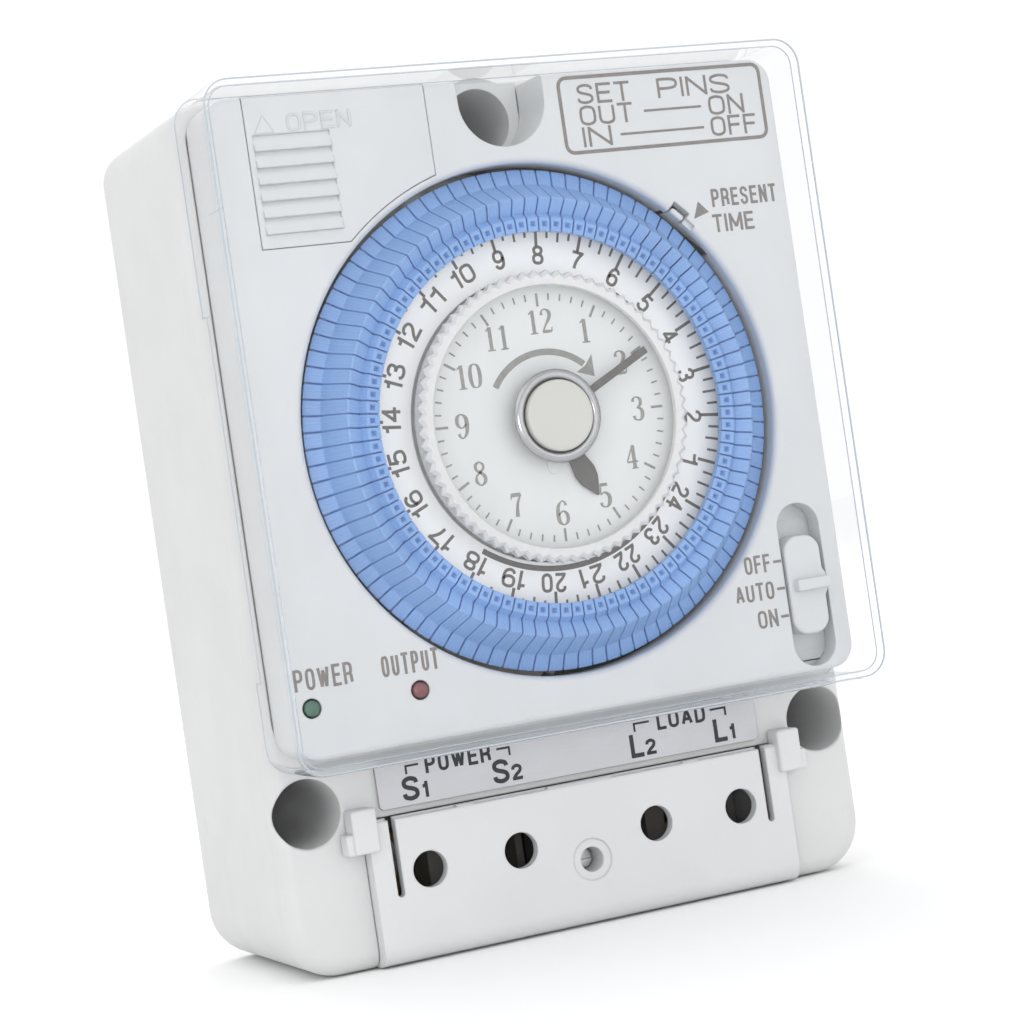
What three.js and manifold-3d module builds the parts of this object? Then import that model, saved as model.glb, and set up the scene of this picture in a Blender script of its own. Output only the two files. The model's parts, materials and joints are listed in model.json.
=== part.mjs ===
// Programmable timer: a surface-mounted 24-hour time switch with a ring of set pins.
// Millimetres. +X right seen from the front, +Z up on the wall, the front faces -Y.
// The origin is the middle of the back face, on the wall plane.
import * as THREE from 'three';
import { mergeVertices } from 'three/addons/utils/BufferGeometryUtils.js';
import Module from 'manifold-3d';

const wasm = await Module();
wasm.setup();

// ---- driving dimensions ----
const FAR = 300;                       // half-size of a trimming block
const GAP = 0.3;                       // clearance between touching pieces
const CASE = { halfW: 52, bottom: -69.5, top: 69.4, front: -43.6, wall: 2.4, corner: 6, lowCorner: 8.5, soft: 2.6 };
const PANEL = { halfW: 49.4, bottom: -34.7, top: 67.7, face: -53.9, thick: 2, wall: 1.6, corner: 4 };
const COVER = { halfW: 51.6, bottom: -36.8, top: 69.7, face: -60.7, wall: 1.0, rear: -44.3, corner: 4.5 };
const COVER_SIDE = { rear: -46.6, zTop: 35.3, zBottom: -22 };   // the shorter middle of the skirt
const HINGE = { y: -44.5, z: 69.15, r: 0.5 };                   // bead that the clear cover turns on
const DIAL = { x: 0, z: 12.7 };
const OPENING_R = 41.1;
const PINS = { count: 96, loose: 4, firstLoose: 10, root: -51.2, tab: 29.6, body: 33.5, rim: 40.3 };
const WELL = { x: 45.9, z: -43.4, r: 5.5, seat: -5, hole: 2.2 };  // lower screw wells
const TOP_WELL = { z: 62.4, r: 5.5, recessHalf: 7.5, recessZ: 64 };
const BAY = { halfW: 37.6, top: -46, back: -9 };                // terminal bay
const INLET = { near: 8, far: 26, rear: -17, front: -31 };      // a cable inlet in the bay floor
const CORE = { in: 41, out: 48.4, low: -65.4, high: -51.4 };    // hollow behind each lower corner, open at the back
const TERM = { xs: [-28, -12.2, 12.2, 28], z: -55.2, holeR: 2.9 };
const TCOVER = { halfW: 37.25, top: -46.4, bottom: -69.2, face: -46.2, rear: -36, wall: 1.8 };
const EAR = { in: 36, out: 40.2, rear: -43.9, front: -47.4, bottom: -50.9, top: -43.9 };
const SLOT = { x: 42.1, z: -20.2, half: 3.95, halfH: 13.6 };    // slide-switch slot
const SWITCH_STEP = 4.4;
const LEDS = { xs: [-46.1, -28.2], z: -26.6, r: 1.25 };
const LID = { x0: -43.2, x1: -13.1, z0: 43.9, z1: 67.35, arcR: 42.4 };
const LEVER = { x: 39, z: 38.4, noseAngle: 43.5, tipIn: 41.3, tipOut: 42.1, halfTip: 2.4 };
const NOTCH = { out: 42.7, half: 6 };                           // in the opening's rim, for the lever's nose
const SKIRT = { r: 42, rear: -48.8, gapFrom: 37, gapTo: 62 };   // wall behind the opening's rim
const COVER_SCREW = { z: -58.9, markR: 3.4, holeR: 1.9, seat: -41, boreR: 1.35, headR: 1.65, shankR: 1.05 };
const STUDS = [[-34, -20], [36, -20], [36, 48]];               // feet of the movement plate
const GEAR = { module: 0.9, dialTeeth: 64, pinionTeeth: 8, wheelTeeth: 32 };
const WHEEL = { r: 32.4, angle: 200 };                         // reduction wheel, seen from the dial's axis
const MOTOR_ANGLE = 28;                                        // motor, seen from the reduction wheel

const COLOURS = {
  white: [0xe6e8ea, 0.45, 0], panel: [0xe9ebed, 0.4, 0], clear: [0xe8f0f6, 0.08, 0], blue: [0x6f9fe0, 0.4, 0],
  face: [0xf2f2f0, 0.5, 0], print: [0x6b6663, 0.6, 0], label: [0xcfcfd4, 0.35, 0.4], steel: [0xb9bcc0, 0.3, 1],
  brass: [0xc8a553, 0.35, 1], black: [0x2a2a2c, 0.5, 0], beige: [0xd9d6c9, 0.45, 0.1], chrome: [0xdedede, 0.12, 1],
  green: [0x3f8a5a, 0.3, 0], red: [0x8a3038, 0.3, 0], board: [0x2f6b46, 0.5, 0], tan: [0xc9a779, 0.6, 0],
  gear: [0xe8e2cf, 0.5, 0],
};

const group = new THREE.Group();

// ---- solid helpers ----
function toSolid(geometry) {
  const plain = geometry.clone();
  for (const key of Object.keys(plain.attributes)) {
    if (key !== 'position') plain.deleteAttribute(key);
  }
  const merged = mergeVertices(plain, 1e-4);
  const triVerts = Uint32Array.from(merged.index.array);
  const p = merged.attributes.position.array;
  if (signedVolume(p, triVerts) < 0) flip(triVerts);
  return new wasm.Manifold(new wasm.Mesh({ numProp: 3, vertProperties: Float32Array.from(p), triVerts }));
}

function signedVolume(p, tris) {
  let sum = 0;
  for (let i = 0; i < tris.length; i += 3) {
    const [a, b, c] = [tris[i] * 3, tris[i + 1] * 3, tris[i + 2] * 3];
    sum += p[a] * (p[b + 1] * p[c + 2] - p[b + 2] * p[c + 1]);
    sum += p[a + 1] * (p[b + 2] * p[c] - p[b] * p[c + 2]);
    sum += p[a + 2] * (p[b] * p[c + 1] - p[b + 1] * p[c]);
  }
  return sum;
}

function flip(tris) {
  for (let i = 0; i < tris.length; i += 3) {
    const keep = tris[i + 1];
    tris[i + 1] = tris[i + 2];
    tris[i + 2] = keep;
  }
}

function toGeometry(solid) {
  const mesh = solid.getMesh();
  const geometry = new THREE.BufferGeometry();
  geometry.setAttribute('position', new THREE.BufferAttribute(Float32Array.from(mesh.vertProperties), 3));
  geometry.setIndex(new THREE.BufferAttribute(Uint32Array.from(mesh.triVerts), 1));
  geometry.computeVertexNormals();
  return geometry;
}

function join(first, ...others) {
  return others.reduce((sum, next) => sum.add(next), first);
}

function cut(first, ...others) {
  return others.reduce((left, next) => left.subtract(next), first);
}

function box(x0, x1, y0, y1, z0, z1) {
  const g = new THREE.BoxGeometry(Math.abs(x1 - x0), Math.abs(y1 - y0), Math.abs(z1 - z0));
  g.translate((x0 + x1) / 2, (y0 + y1) / 2, (z0 + z1) / 2);
  return toSolid(g);
}

// An outline in X and Z, pushed out along Y from y0 to y1.
function slab(shape, y0, y1, curveSegments = 8) {
  const back = Math.max(y0, y1);
  const g = new THREE.ExtrudeGeometry(shape, { depth: Math.abs(y1 - y0), bevelEnabled: false, curveSegments });
  g.rotateX(Math.PI / 2);
  g.translate(0, back, 0);
  return toSolid(g);
}

function roundRect(x0, x1, z0, z1, r, low = r) {
  const s = new THREE.Shape();
  s.moveTo(x0 + low, z0);
  s.lineTo(x1 - low, z0);
  s.absarc(x1 - low, z0 + low, low, -Math.PI / 2, 0, false);
  s.lineTo(x1, z1 - r);
  s.absarc(x1 - r, z1 - r, r, 0, Math.PI / 2, false);
  s.lineTo(x0 + r, z1);
  s.absarc(x0 + r, z1 - r, r, Math.PI / 2, Math.PI, false);
  s.lineTo(x0, z0 + low);
  s.absarc(x0 + low, z0 + low, low, Math.PI, 1.5 * Math.PI, false);
  return s;
}

// A slab whose outline is drawn in by a rounded edge around its end at ySoft.
function softSlab(shape, yPlain, ySoft, soft, curveSegments = 5, bevelSegments = 2) {
  const depth = Math.abs(ySoft - yPlain);
  const g = new THREE.ExtrudeGeometry(shape, {
    depth, curveSegments, bevelEnabled: true, bevelThickness: soft, bevelSize: soft, bevelOffset: -soft, bevelSegments,
  });
  g.rotateX(Math.PI / 2);
  const away = Math.sign(ySoft - yPlain);
  g.translate(0, Math.max(yPlain, ySoft) - away * soft, 0);
  return cut(toSolid(g), box(-FAR, FAR, yPlain, yPlain - away * FAR, -FAR, FAR));
}

function roundBlock(x0, x1, z0, z1, r, y0, y1, segments = 5) {
  return slab(roundRect(x0, x1, z0, z1, r), y0, y1, segments);
}

// A cylinder along Y, with its own radius at each end.
function rod(x, z, r, y0, y1, segments = 24, rEnd = r) {
  const [back, front] = [Math.max(y0, y1), Math.min(y0, y1)];
  const g = new THREE.CylinderGeometry(r, rEnd, back - front, segments);
  g.translate(x, (back + front) / 2, z);
  return toSolid(g);
}

function rodX(y, z, r, x0, x1, segments = 16) {
  const g = new THREE.CylinderGeometry(r, r, Math.abs(x1 - x0), segments);
  g.rotateZ(Math.PI / 2);
  g.translate((x0 + x1) / 2, y, z);
  return toSolid(g);
}

// A closed profile of [radius, y] turned about the dial's axis.
function turned(profile, segments = 64) {
  const points = [...profile, profile[0]].map(([r, y]) => new THREE.Vector2(r, y));
  const g = new THREE.LatheGeometry(points, segments);
  g.translate(DIAL.x, 0, DIAL.z);
  return toSolid(g);
}

function polar(r, clockwiseDegrees) {
  const a = THREE.MathUtils.degToRad(clockwiseDegrees);
  return [DIAL.x + r * Math.sin(a), DIAL.z + r * Math.cos(a)];
}

function outline(points) {
  const s = new THREE.Shape();
  points.forEach(([x, z], i) => (i ? s.lineTo(x, z) : s.moveTo(x, z)));
  return s;
}

// A toothed outline: straight-sided teeth between the root and the tip circle.
function gearOutline(cx, cz, teeth, phase = 0) {
  const pitch = (GEAR.module * teeth) / 2;
  const [tip, root] = [pitch + 0.55, pitch - 1.05];
  const step = (2 * Math.PI) / teeth;
  const points = [];
  for (let i = 0; i < teeth; i += 1) {
    const a = (i + phase) * step;
    for (const [r, t] of [[root, -0.3], [tip, -0.11], [tip, 0.11], [root, 0.3]]) {
      points.push([cx + r * Math.sin(a + t * step), cz + r * Math.cos(a + t * step)]);
    }
  }
  return outline(points.reverse());
}

function put(name, solid, colour) {
  const [hex, roughness, metalness] = COLOURS[colour];
  const material = new THREE.MeshStandardMaterial({ color: hex, roughness, metalness });
  if (colour === 'clear') {
    material.transparent = true;
    material.opacity = 0.3;
  }
  const mesh = new THREE.Mesh(toGeometry(solid), material);
  mesh.name = name;
  group.add(mesh);
}

// ---- enclosure ----
function rearCase() {
  const c = CASE;
  const shape = roundRect(-c.halfW, c.halfW, c.bottom, c.top, c.corner, c.lowCorner);
  let body = softSlab(shape, c.front, 0, c.soft, 5, 2);
  const floor = -c.wall;
  const upper = roundBlock(-c.halfW + c.wall, c.halfW - c.wall, PANEL.bottom + 2, c.top - c.wall, 4, floor, c.front - 1);
  const bay = box(-BAY.halfW, BAY.halfW, BAY.back, c.front - 1, c.bottom - 1, BAY.top);
  const bayFloor = cut(
    box(-BAY.halfW - 1, BAY.halfW + 1, BAY.back + 1, TCOVER.rear + 1, c.bottom, c.bottom + 2.2),
    box(-INLET.far, -INLET.near, INLET.rear, INLET.front, c.bottom - 1, c.bottom + 3),
    box(INLET.near, INLET.far, INLET.rear, INLET.front, c.bottom - 1, c.bottom + 3),
  );
  const wiring = box(-35.4, 35.4, BAY.back, c.front + 1.8, BAY.top + 1.8, PANEL.bottom + 3);
  body = cut(body, upper, bay, wiring);
  for (const x of TERM.xs) body = cut(body, box(x - 1.8, x + 1.8, -18.5, -20.7, BAY.top - 1, BAY.top + 2));
  body = join(body, bayFloor, box(-0.9, 0.9, BAY.back + 1, -13, c.bottom + 1, BAY.top + 1));
  for (const side of [-1, 1]) {
    body = cut(
      body,
      rod(side * WELL.x, WELL.z, WELL.r, WELL.seat, c.front - 1, 28),
      rod(side * WELL.x, WELL.z, WELL.hole, 1, WELL.seat - 1, 20),
      box(side * CORE.in, side * CORE.out, 1, c.front + c.wall, CORE.low, CORE.high),
    );
  }
  const post = join(
    rod(0, TOP_WELL.z, TOP_WELL.r + 1.6, floor + 1, c.front, 32),
    box(-TOP_WELL.r - 1.6, TOP_WELL.r + 1.6, floor + 1, c.front, TOP_WELL.z, c.top - 1),
  );
  body = join(body, post);
  body = cut(
    body,
    rod(0, TOP_WELL.z, TOP_WELL.r, WELL.seat, c.front - 1, 28),
    rod(0, TOP_WELL.z, WELL.hole, 1, WELL.seat - 1, 20),
  );
  for (const [x, z] of caseScrewPlaces()) {
    body = join(body, rod(x, z, 3.6, floor + 1, -38, 16));
    body = cut(body, rod(x, z, 1.75, 1, -39, 12), rod(x, z, 3.1, 1, -1.6, 16));
  }
  const relief = rodX(HINGE.y, HINGE.z, HINGE.r + 0.55, -c.halfW - 1, c.halfW + 1, 12);
  return cut(body, relief);
}

function caseScrewPlaces() {
  return [[-45, 60], [45, 60], [-45, -28.6], [45, -28.6]];
}

function frontPanel() {
  const p = PANEL;
  const rear = CASE.front - GAP;
  let body = softSlab(roundRect(-p.halfW, p.halfW, p.bottom, p.top, p.corner), rear, p.face, 0.7, 4, 1);
  body = cut(body, roundBlock(-p.halfW + p.wall, p.halfW - p.wall, p.bottom + p.wall, p.top - p.wall, 3,
    rear + 1, p.face + p.thick));
  body = cut(body, rod(DIAL.x, DIAL.z, OPENING_R, rear, p.face - 1, 96));
  body = join(body, recessWall(), batteryTray(), openingSkirt());
  const r = TOP_WELL.recessHalf;
  const recess = join(
    rod(0, TOP_WELL.recessZ, r, rear + 1, p.face - 1, 28),
    box(-r, r, rear + 1, p.face - 1, TOP_WELL.recessZ, p.top + 1),
  );
  body = cut(body, recess, lidPocket(), batteryHollow());
  const s = SLOT;
  body = cut(body, roundBlock(s.x - s.half, s.x + s.half, s.z - s.halfH, s.z + s.halfH, s.half - 0.1,
    p.face + 4, p.face - 1, 6));
  for (const x of LEDS.xs) body = cut(body, rod(x, LEDS.z, LEDS.r + GAP, p.face + 4, p.face - 1, 16));
  return cut(body, sector(OPENING_R - 1, NOTCH.out, LEVER.noseAngle, NOTCH.half, p.face + 4, p.face - 1));
}

// A block between two radii of the dial, half degrees to each side of an angle.
function sector(inner, outer, angle, half, y0, y1) {
  const points = [polar(inner, angle - half), polar(outer, angle - half)];
  points.push(polar(outer / Math.cos(THREE.MathUtils.degToRad(half)), angle), polar(outer, angle + half));
  return slab(outline([...points, polar(inner, angle + half)]), y0, y1, 1);
}

// A short wall behind the rim of the dial opening, left open where the trip lever passes.
function openingSkirt() {
  const s = SKIRT;
  const tube = turned([[OPENING_R, s.rear], [s.r, s.rear], [s.r, PANEL.face + 1], [OPENING_R, PANEL.face + 1]], 96);
  const middle = (s.gapFrom + s.gapTo) / 2;
  return cut(tube, sector(OPENING_R - 2, s.r + 2, middle, s.gapTo - middle, s.rear + 1, PANEL.face + PANEL.thick));
}

function recessWall() {
  const r = TOP_WELL.recessHalf + 1.4;
  const rear = CASE.front - GAP;
  return join(
    rod(0, TOP_WELL.recessZ, r, rear, PANEL.face + 1, 28),
    box(-r, r, rear, PANEL.face + 1, TOP_WELL.recessZ, PANEL.top),
  ).subtract(rod(DIAL.x, DIAL.z, OPENING_R + 0.6, rear + 1, PANEL.face + 2, 64))
    .subtract(box(-r - 1, r + 1, rear + 1, PANEL.face - 1, PANEL.top, PANEL.top + 9));
}

// Tray walls behind the battery lid, open towards the front.
function batteryTray() {
  return box(-43.6, -19.8, -38.2, PANEL.face + 1, 49.6, 64.6);
}

function batteryHollow() {
  return box(-42.4, -21, -39.4, PANEL.face - 1, 50.8, 63.4);
}

function lidShape(grow) {
  const [x0, x1, z0, z1] = [LID.x0 - grow, LID.x1 + grow, LID.z0 - grow, LID.z1 + grow];
  const r = LID.arcR - grow;
  const points = [[x0, z1], [x0, z0]];
  const start = Math.asin(Math.sqrt(1 - ((z0 - DIAL.z) / r) ** 2));
  const end = Math.asin(-x1 / r);
  const steps = 10;
  for (let i = 0; i <= steps; i += 1) {
    const a = start + ((end - start) * i) / steps;
    points.push([-r * Math.sin(a), DIAL.z + r * Math.cos(a)]);
  }
  points.push([x1, z1]);
  return outline(points);
}

// The lid lies in a shallow pocket that runs out over the top, so that it can slide up.
function lidPocket() {
  const deep = 1.6;
  return join(
    slab(lidShape(GAP), PANEL.face + deep, PANEL.face - 1),
    box(LID.x0 - GAP, LID.x1 + GAP, PANEL.face + deep, PANEL.face - 1, LID.z1 - 1, PANEL.top + 1),
  );
}

function batteryLid() {
  const face = PANEL.face - 0.05;
  let lid = slab(lidShape(0), PANEL.face + 1.3, face);
  const ribs = 6;
  const pitch = 2.58;
  for (let i = 0; i < ribs; i += 1) {
    const z = 58.9 - i * pitch;
    lid = cut(lid, box(-42.2, -29.7, face + 0.45, face - 1, z - 0.45, z));
    lid = join(lid, box(-42.2, -29.7, face + 0.4, face - 0.5, z - 1.5, z - 0.5));
  }
  return lid;
}

function clearCover() {
  const c = COVER;
  const shell = cut(
    softSlab(roundRect(-c.halfW, c.halfW, c.bottom, c.top, c.corner), c.rear, c.face, 0.9, 6, 2),
    roundBlock(-c.halfW + c.wall, c.halfW - c.wall, c.bottom + c.wall, c.top - c.wall, c.corner - c.wall,
      c.rear + 1, c.face + 1.2, 6),
  );
  const side = COVER_SIDE;
  const bead = rodX(HINGE.y, HINGE.z, HINGE.r, -40, 40, 12);
  const cleared = cut(
    shell,
    box(-c.halfW - 1, -c.halfW + 3, c.rear + 1, side.rear, side.zBottom, side.zTop),
    box(c.halfW - 3, c.halfW + 1, c.rear + 1, side.rear, side.zBottom, side.zTop),
  );
  return join(cleared, bead);
}

// ---- terminals ----
function terminalCover() {
  const t = TCOVER;
  let body = cut(
    box(-t.halfW, t.halfW, t.rear, t.face, t.bottom, t.top),
    box(-t.halfW + 1.4, t.halfW - 1.4, t.rear + 1, t.face + t.wall, t.bottom + 1.6, t.top + 1),
  );
  for (const x of TERM.xs) body = cut(body, rod(x, TERM.z, TERM.holeR, t.face + 4, t.face - 1, 24));
  const s = COVER_SCREW;
  body = join(body, rod(0, s.z, 4.6, -33, t.face + 1, 24));
  body = cut(body, rod(0, s.z, s.markR, t.face + GAP, t.face - 1, 28), rod(0, s.z, s.holeR, s.seat, t.face - 1, 20),
    rod(0, s.z, s.boreR, -30, s.seat - 1, 16));
  for (const side of [-1, 1]) {
    body = cut(body, box(side * 32.8, side * 33.9, t.face + 4, t.face - 1, -58.6, t.top + 1));
    body = join(body, box(side * EAR.in, side * EAR.out, EAR.rear, EAR.front, EAR.bottom, EAR.top));
  }
  return body;
}

function terminalBlock() {
  const [back, front] = [-13.3, -29];
  let body = box(-35.6, 35.6, back, front, -66, -47.4);
  for (const x of TERM.xs) {
    body = cut(body, box(x - 6.1, x + 6.1, -18.6, front - 1, -67, -49.6));
    body = cut(body, rod(x, TERM.z, 2.3, -14.6, -19, 16));
  }
  body = cut(body, box(-4.8, 4.8, -15, front - 1, -67, -52));
  body = cut(body, box(-1.4, 1.4, back + 1, -16, -67, -46));
  for (const x of TERM.xs) body = cut(body, box(x - 1.8, x + 1.8, -18.5, -20.7, -50, -46));
  return body;
}

// A flat conductor from each clamp up into the case.
function terminalLead(x) {
  return box(x - 1.4, x + 1.4, -19.1, -20.1, -49.7, -29);
}

function terminalClamp(x) {
  return cut(box(x - 5.6, x + 5.6, -18.9, -20.5, -64.6, -50), rod(x, TERM.z, 2.15, -18, -21, 16));
}

function terminalScrew(x) {
  const head = rod(x, TERM.z, 3.6, -20.8, -23.6, 16);
  const shank = rod(x, TERM.z, 1.75, -15.2, -21.4, 10);
  const slots = [box(x - 2.9, x + 2.9, -22.4, -24, TERM.z - 0.4, TERM.z + 0.4),
    box(x - 0.4, x + 0.4, -22.4, -24, TERM.z - 2.9, TERM.z + 2.9)];
  return cut(join(head, shank), ...slots);
}

function terminalCoverScrew() {
  const s = COVER_SCREW;
  const top = s.seat - 1.4;
  const head = rod(0, s.z, s.headR, s.seat - 0.1, top, 20);
  const shank = rod(0, s.z, s.shankR, -31.4, s.seat - 0.5, 14);
  return cut(join(head, shank), box(-2, 2, top + 0.6, top - 1, s.z - 0.25, s.z + 0.25));
}

// ---- dial and hands ----
function hourDisc() {
  const plate = turned([[4.5, -49.6], [39.8, -49.6], [39.8, -50.6], [33.2, -50.9], [33.2, -53.1],
    [23.0, -53.1], [23.0, -51.2], [4.5, -51.2]], 64);
  const hub = turned([[2.6, -45.2], [6, -45.2], [6, -51], [2.6, -51]], 20);
  const rim = slab(gearOutline(DIAL.x, DIAL.z, GEAR.dialTeeth), -46.2, -48.4, 1);
  const gear = cut(rim, rod(DIAL.x, DIAL.z, 25, -45, -49, 32));
  const web = turned([[25.4, -48], [27.2, -48], [27.2, -50], [25.4, -50]], 32);
  return join(plate, hub, gear, web);
}

// One pin's section: rim, broad slope, ridge, then the inner tab that reaches over the printed disc.
function pinSection(shift, inset) {
  const rim = PINS.rim + shift - inset;
  const tab = PINS.tab + shift;
  return [[PINS.body + shift, PINS.root], [PINS.body + shift, -55.5], [tab, -55.7], [tab, -56.7 + inset],
    [32.1 + shift, -56.8 + inset], [34.7 + shift, -57.5 + inset], [37.7 + shift, -52.6 + inset],
    [39.4 + shift, -51.9 + inset], [rim, -51.5], [rim, PINS.root]];
}

// A run of pins, each with a shallow parting groove at its edges.
function pinRun(first, count, shift) {
  const step = 360 / PINS.count;
  const groove = 0.14;
  const rings = [];
  for (let i = first; i < first + count; i += 1) {
    const base = i * step;
    rings.push([base, 0.28], [base + step * groove, 0]);
  }
  rings.push([(first + count) * step, 0.28]);
  return sweep(rings, shift);
}

// Joins the sections of a run of angles into one closed body with flat ends.
function sweep(rings, shift) {
  const positions = [];
  const index = [];
  const n = pinSection(0, 0).length;
  for (const [angle, inset] of rings) {
    for (const [r, y] of pinSection(shift, inset)) {
      const [x, z] = polar(r, angle);
      positions.push(x, y, z);
    }
  }
  for (let k = 0; k + 1 < rings.length; k += 1) {
    for (let j = 0; j < n; j += 1) {
      const [a, b] = [k * n + j, k * n + ((j + 1) % n)];
      index.push(a, b, a + n, b, b + n, a + n);
    }
  }
  const contour = pinSection(0, 0).map(([r, y]) => new THREE.Vector2(r, y));
  const last = (rings.length - 1) * n;
  for (const [i, j, k] of THREE.ShapeUtils.triangulateShape(contour, [])) {
    index.push(k, j, i, last + i, last + j, last + k);
  }
  const g = new THREE.BufferGeometry();
  g.setAttribute('position', new THREE.BufferAttribute(new Float32Array(positions), 3));
  g.setIndex(index);
  return toSolid(g);
}

function pinRing() {
  const keepAway = 0.12;
  const step = 360 / PINS.count;
  const first = PINS.firstLoose + PINS.loose;
  const count = PINS.count - PINS.loose;
  const ring = pinRun(first, count, 0);
  return ring.subtract(wedge((PINS.firstLoose - keepAway) * step, (first + keepAway) * step));
}

function wedge(from, to) {
  const points = [polar(26, from), polar(44, from), polar(44.2, (from + to) / 2), polar(44, to), polar(26, to)];
  return slab(outline(points.reverse()), -49, -60, 1);
}

function loosePin(i) {
  const step = 360 / PINS.count;
  const pin = pinRun(PINS.firstLoose + i, 1, 0);
  const trim = 0.12 * step;
  const a = (PINS.firstLoose + i) * step;
  return cut(pin, wedge(a - step, a + trim * 0.8), wedge(a + step - trim * 0.8, a + 2 * step));
}

function clockFace() {
  return turned([[3.1, -53.5], [22.6, -53.5], [22.6, -54.9], [22.2, -55.2], [3.1, -55.2]], 40);
}

function hourHand() {
  const tube = turned([[1.9, -52.2], [2.8, -52.2], [2.8, -55.9], [1.9, -55.9]], 24);
  const blade = slab(outline([[-1.6, 2], [1.6, 2], [1.6, 8.4], [2.4, 10.6], [0, 15.2], [-2.4, 10.6], [-1.6, 8.4]]
    .map(([x, z]) => turnedPoint(x, z, 153))), -55.5, -55.9, 1);
  return cut(join(tube, blade), rod(DIAL.x, DIAL.z, 1.9, -50, -58, 24));
}

function turnedPoint(x, z, clockwiseDegrees) {
  const a = THREE.MathUtils.degToRad(clockwiseDegrees);
  return [DIAL.x + x * Math.cos(a) + z * Math.sin(a), DIAL.z - x * Math.sin(a) + z * Math.cos(a)];
}

// The clear setting disc has a knurled grip ring standing up at its rim.
function settingDisc() {
  const knurls = 72;
  const points = [];
  for (let i = 0; i < knurls; i += 1) {
    points.push(polar(23.5, (i * 360) / knurls), polar(22.95, ((i + 0.5) * 360) / knurls));
  }
  const rim = slab(outline(points.reverse()), -55.6, -57.6, 1);
  const dish = rod(DIAL.x, DIAL.z, 21.2, -56.8, -58, 40);
  return cut(rim, dish, rod(DIAL.x, DIAL.z, 21.6, -55, -56.2, 40), rod(DIAL.x, DIAL.z, 3.1, -55, -58, 24))
    .subtract(rod(DIAL.x, DIAL.z, 22.4, -55, -55.9, 40));
}

function minuteHand() {
  const bar = slab(outline([[-0.75, 5.6], [0.75, 5.6], [0.75, 19.4], [-0.75, 19.4]]
    .map(([x, z]) => turnedPoint(x, z, 61))), -57.1, -57.45, 1);
  const boss = turned([[1.5, -56.5], [2.8, -56.5], [2.8, -57.1], [6.4, -57.1], [6.4, -57.45], [1.5, -57.45]], 24);
  return join(bar, boss);
}

function hubRing() {
  return turned([[5.9, -57.75], [7.4, -57.75], [7.2, -58.5], [6.6, -59.1], [6.1, -59.1], [6.1, -58.3], [5.9, -58.3]], 28);
}

function hubCap() {
  return turned([[0, -57.75], [5.6, -57.75], [5.6, -58.5], [5.5, -59], [5.1, -59.2], [0, -59.2]], 28);
}

function dialShaft() {
  return turned([[0, -38.6], [4, -38.6], [4, -40.1], [1.2, -40.1], [1.2, -57.4], [0, -57.4]], 20);
}

// ---- switch, lever and movement ----
function modeSlider() {
  const front = PANEL.face - 0.6;
  const x = SLOT.x;
  const z = SLOT.z;
  const grip = roundBlock(x - 3.5, x + 3.2, z - 8.2, z + 8.2, 2.6, PANEL.face + 3.2, front, 4);
  const flare = slab(outline([[x, z - 3.4], [x + 3.55, z - 1.5], [x + 3.55, z + 1.5], [x, z + 3.4]]),
    PANEL.face + 1, front, 1);
  const pointer = box(x - 2.6, x + 3.6, front + 0.5, front - 1.5, z - 0.9, z + 1);
  const stem = box(x - 1.2, x + 1.2, PANEL.face + 6, PANEL.face + 3, z - 2.4, z + 2.4);
  return join(grip, flare, pointer, stem);
}

function modeSwitchBody() {
  const back = -41.4;
  const x = SLOT.x;
  const z = SLOT.z;
  const body = box(x - 4.2, x + 3.4, back, PANEL.face + 3.6, z - 11, z + 11);
  return cut(body, box(x - 1.6, x + 1.6, -45, PANEL.face, z - 2.7 - SWITCH_STEP, z + 2.7 + SWITCH_STEP));
}

function tripLever() {
  const [y0, y1] = [-49.4, -51.4];
  const { tipIn, tipOut, halfTip, noseAngle } = LEVER;
  const nose = [polar(tipIn, noseAngle - halfTip), polar(tipIn, noseAngle + halfTip)];
  const rest = [[36.4, 35.4], [41.8, 36.6], [41.2, 52.4], [38.7, 52.4], [38.2, 42.4], [30.4, 44.4]];
  const arm = slab(outline([...nose, ...rest]), y0, y1, 1);
  const tip = sector(tipIn, tipOut, noseAngle, halfTip, y0, -53.2);
  return cut(join(arm, tip, rod(LEVER.x, LEVER.z, 3, y0 + 1.2, y1, 20)), rod(LEVER.x, LEVER.z, 1.5, -47, -52, 20));
}

function leverPivot() {
  return join(rod(LEVER.x, LEVER.z, 1.2, -39.8, -51.6, 16), rod(LEVER.x, LEVER.z, 2.4, -39.8, -47.6, 16));
}

function leverSpring() {
  return join(
    box(33.2, 33.8, -49.6, -51, 44.3, 58),
    box(33.2, 36.2, -49.6, -51, 57.4, 58.4),
  );
}

function loadSwitchBody() {
  return cut(box(42.6, 47.4, -46, -51.4, 44, 58.8), box(42, 45.2, -47.4, -50, 48.6, 51.6));
}

function loadSwitchPlunger() {
  return box(41.8, 43.2, -47.9, -49.5, 49.1, 51.1);
}

function movementPlate() {
  let plate = roundBlock(-38, 41, -24, 61, 4, -38.6, -39.7, 4);
  plate = cut(plate, rod(DIAL.x, DIAL.z, 4.4, -38, -40, 24), box(-50, -18.6, -38, -40, 48, 62));
  const [wx, wz] = wheelPlace();
  const [mx, mz] = motorPlace();
  plate = cut(plate, rod(mx, mz, 4.6, -38, -40, 20), rod(0, TOP_WELL.z, 8, -38, -40, 24),
    rod(LEVER.x, LEVER.z, 2.8, -38, -40, 16));
  for (const [x, z] of STUDS) plate = join(plate, rod(x, z, 2.4, -2.7, -39, 12));
  const springPost = rod(35, 57.9, 1.2, -39, -49.3, 12);
  return join(plate, springPost, box(wx - 4, wx + 4, -38.6, -39.7, wz - 4, -22), rod(wx, wz, 1.0, -39, -49.2, 14));
}

function wheelPlace() {
  return polar(WHEEL.r, WHEEL.angle);
}

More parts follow.
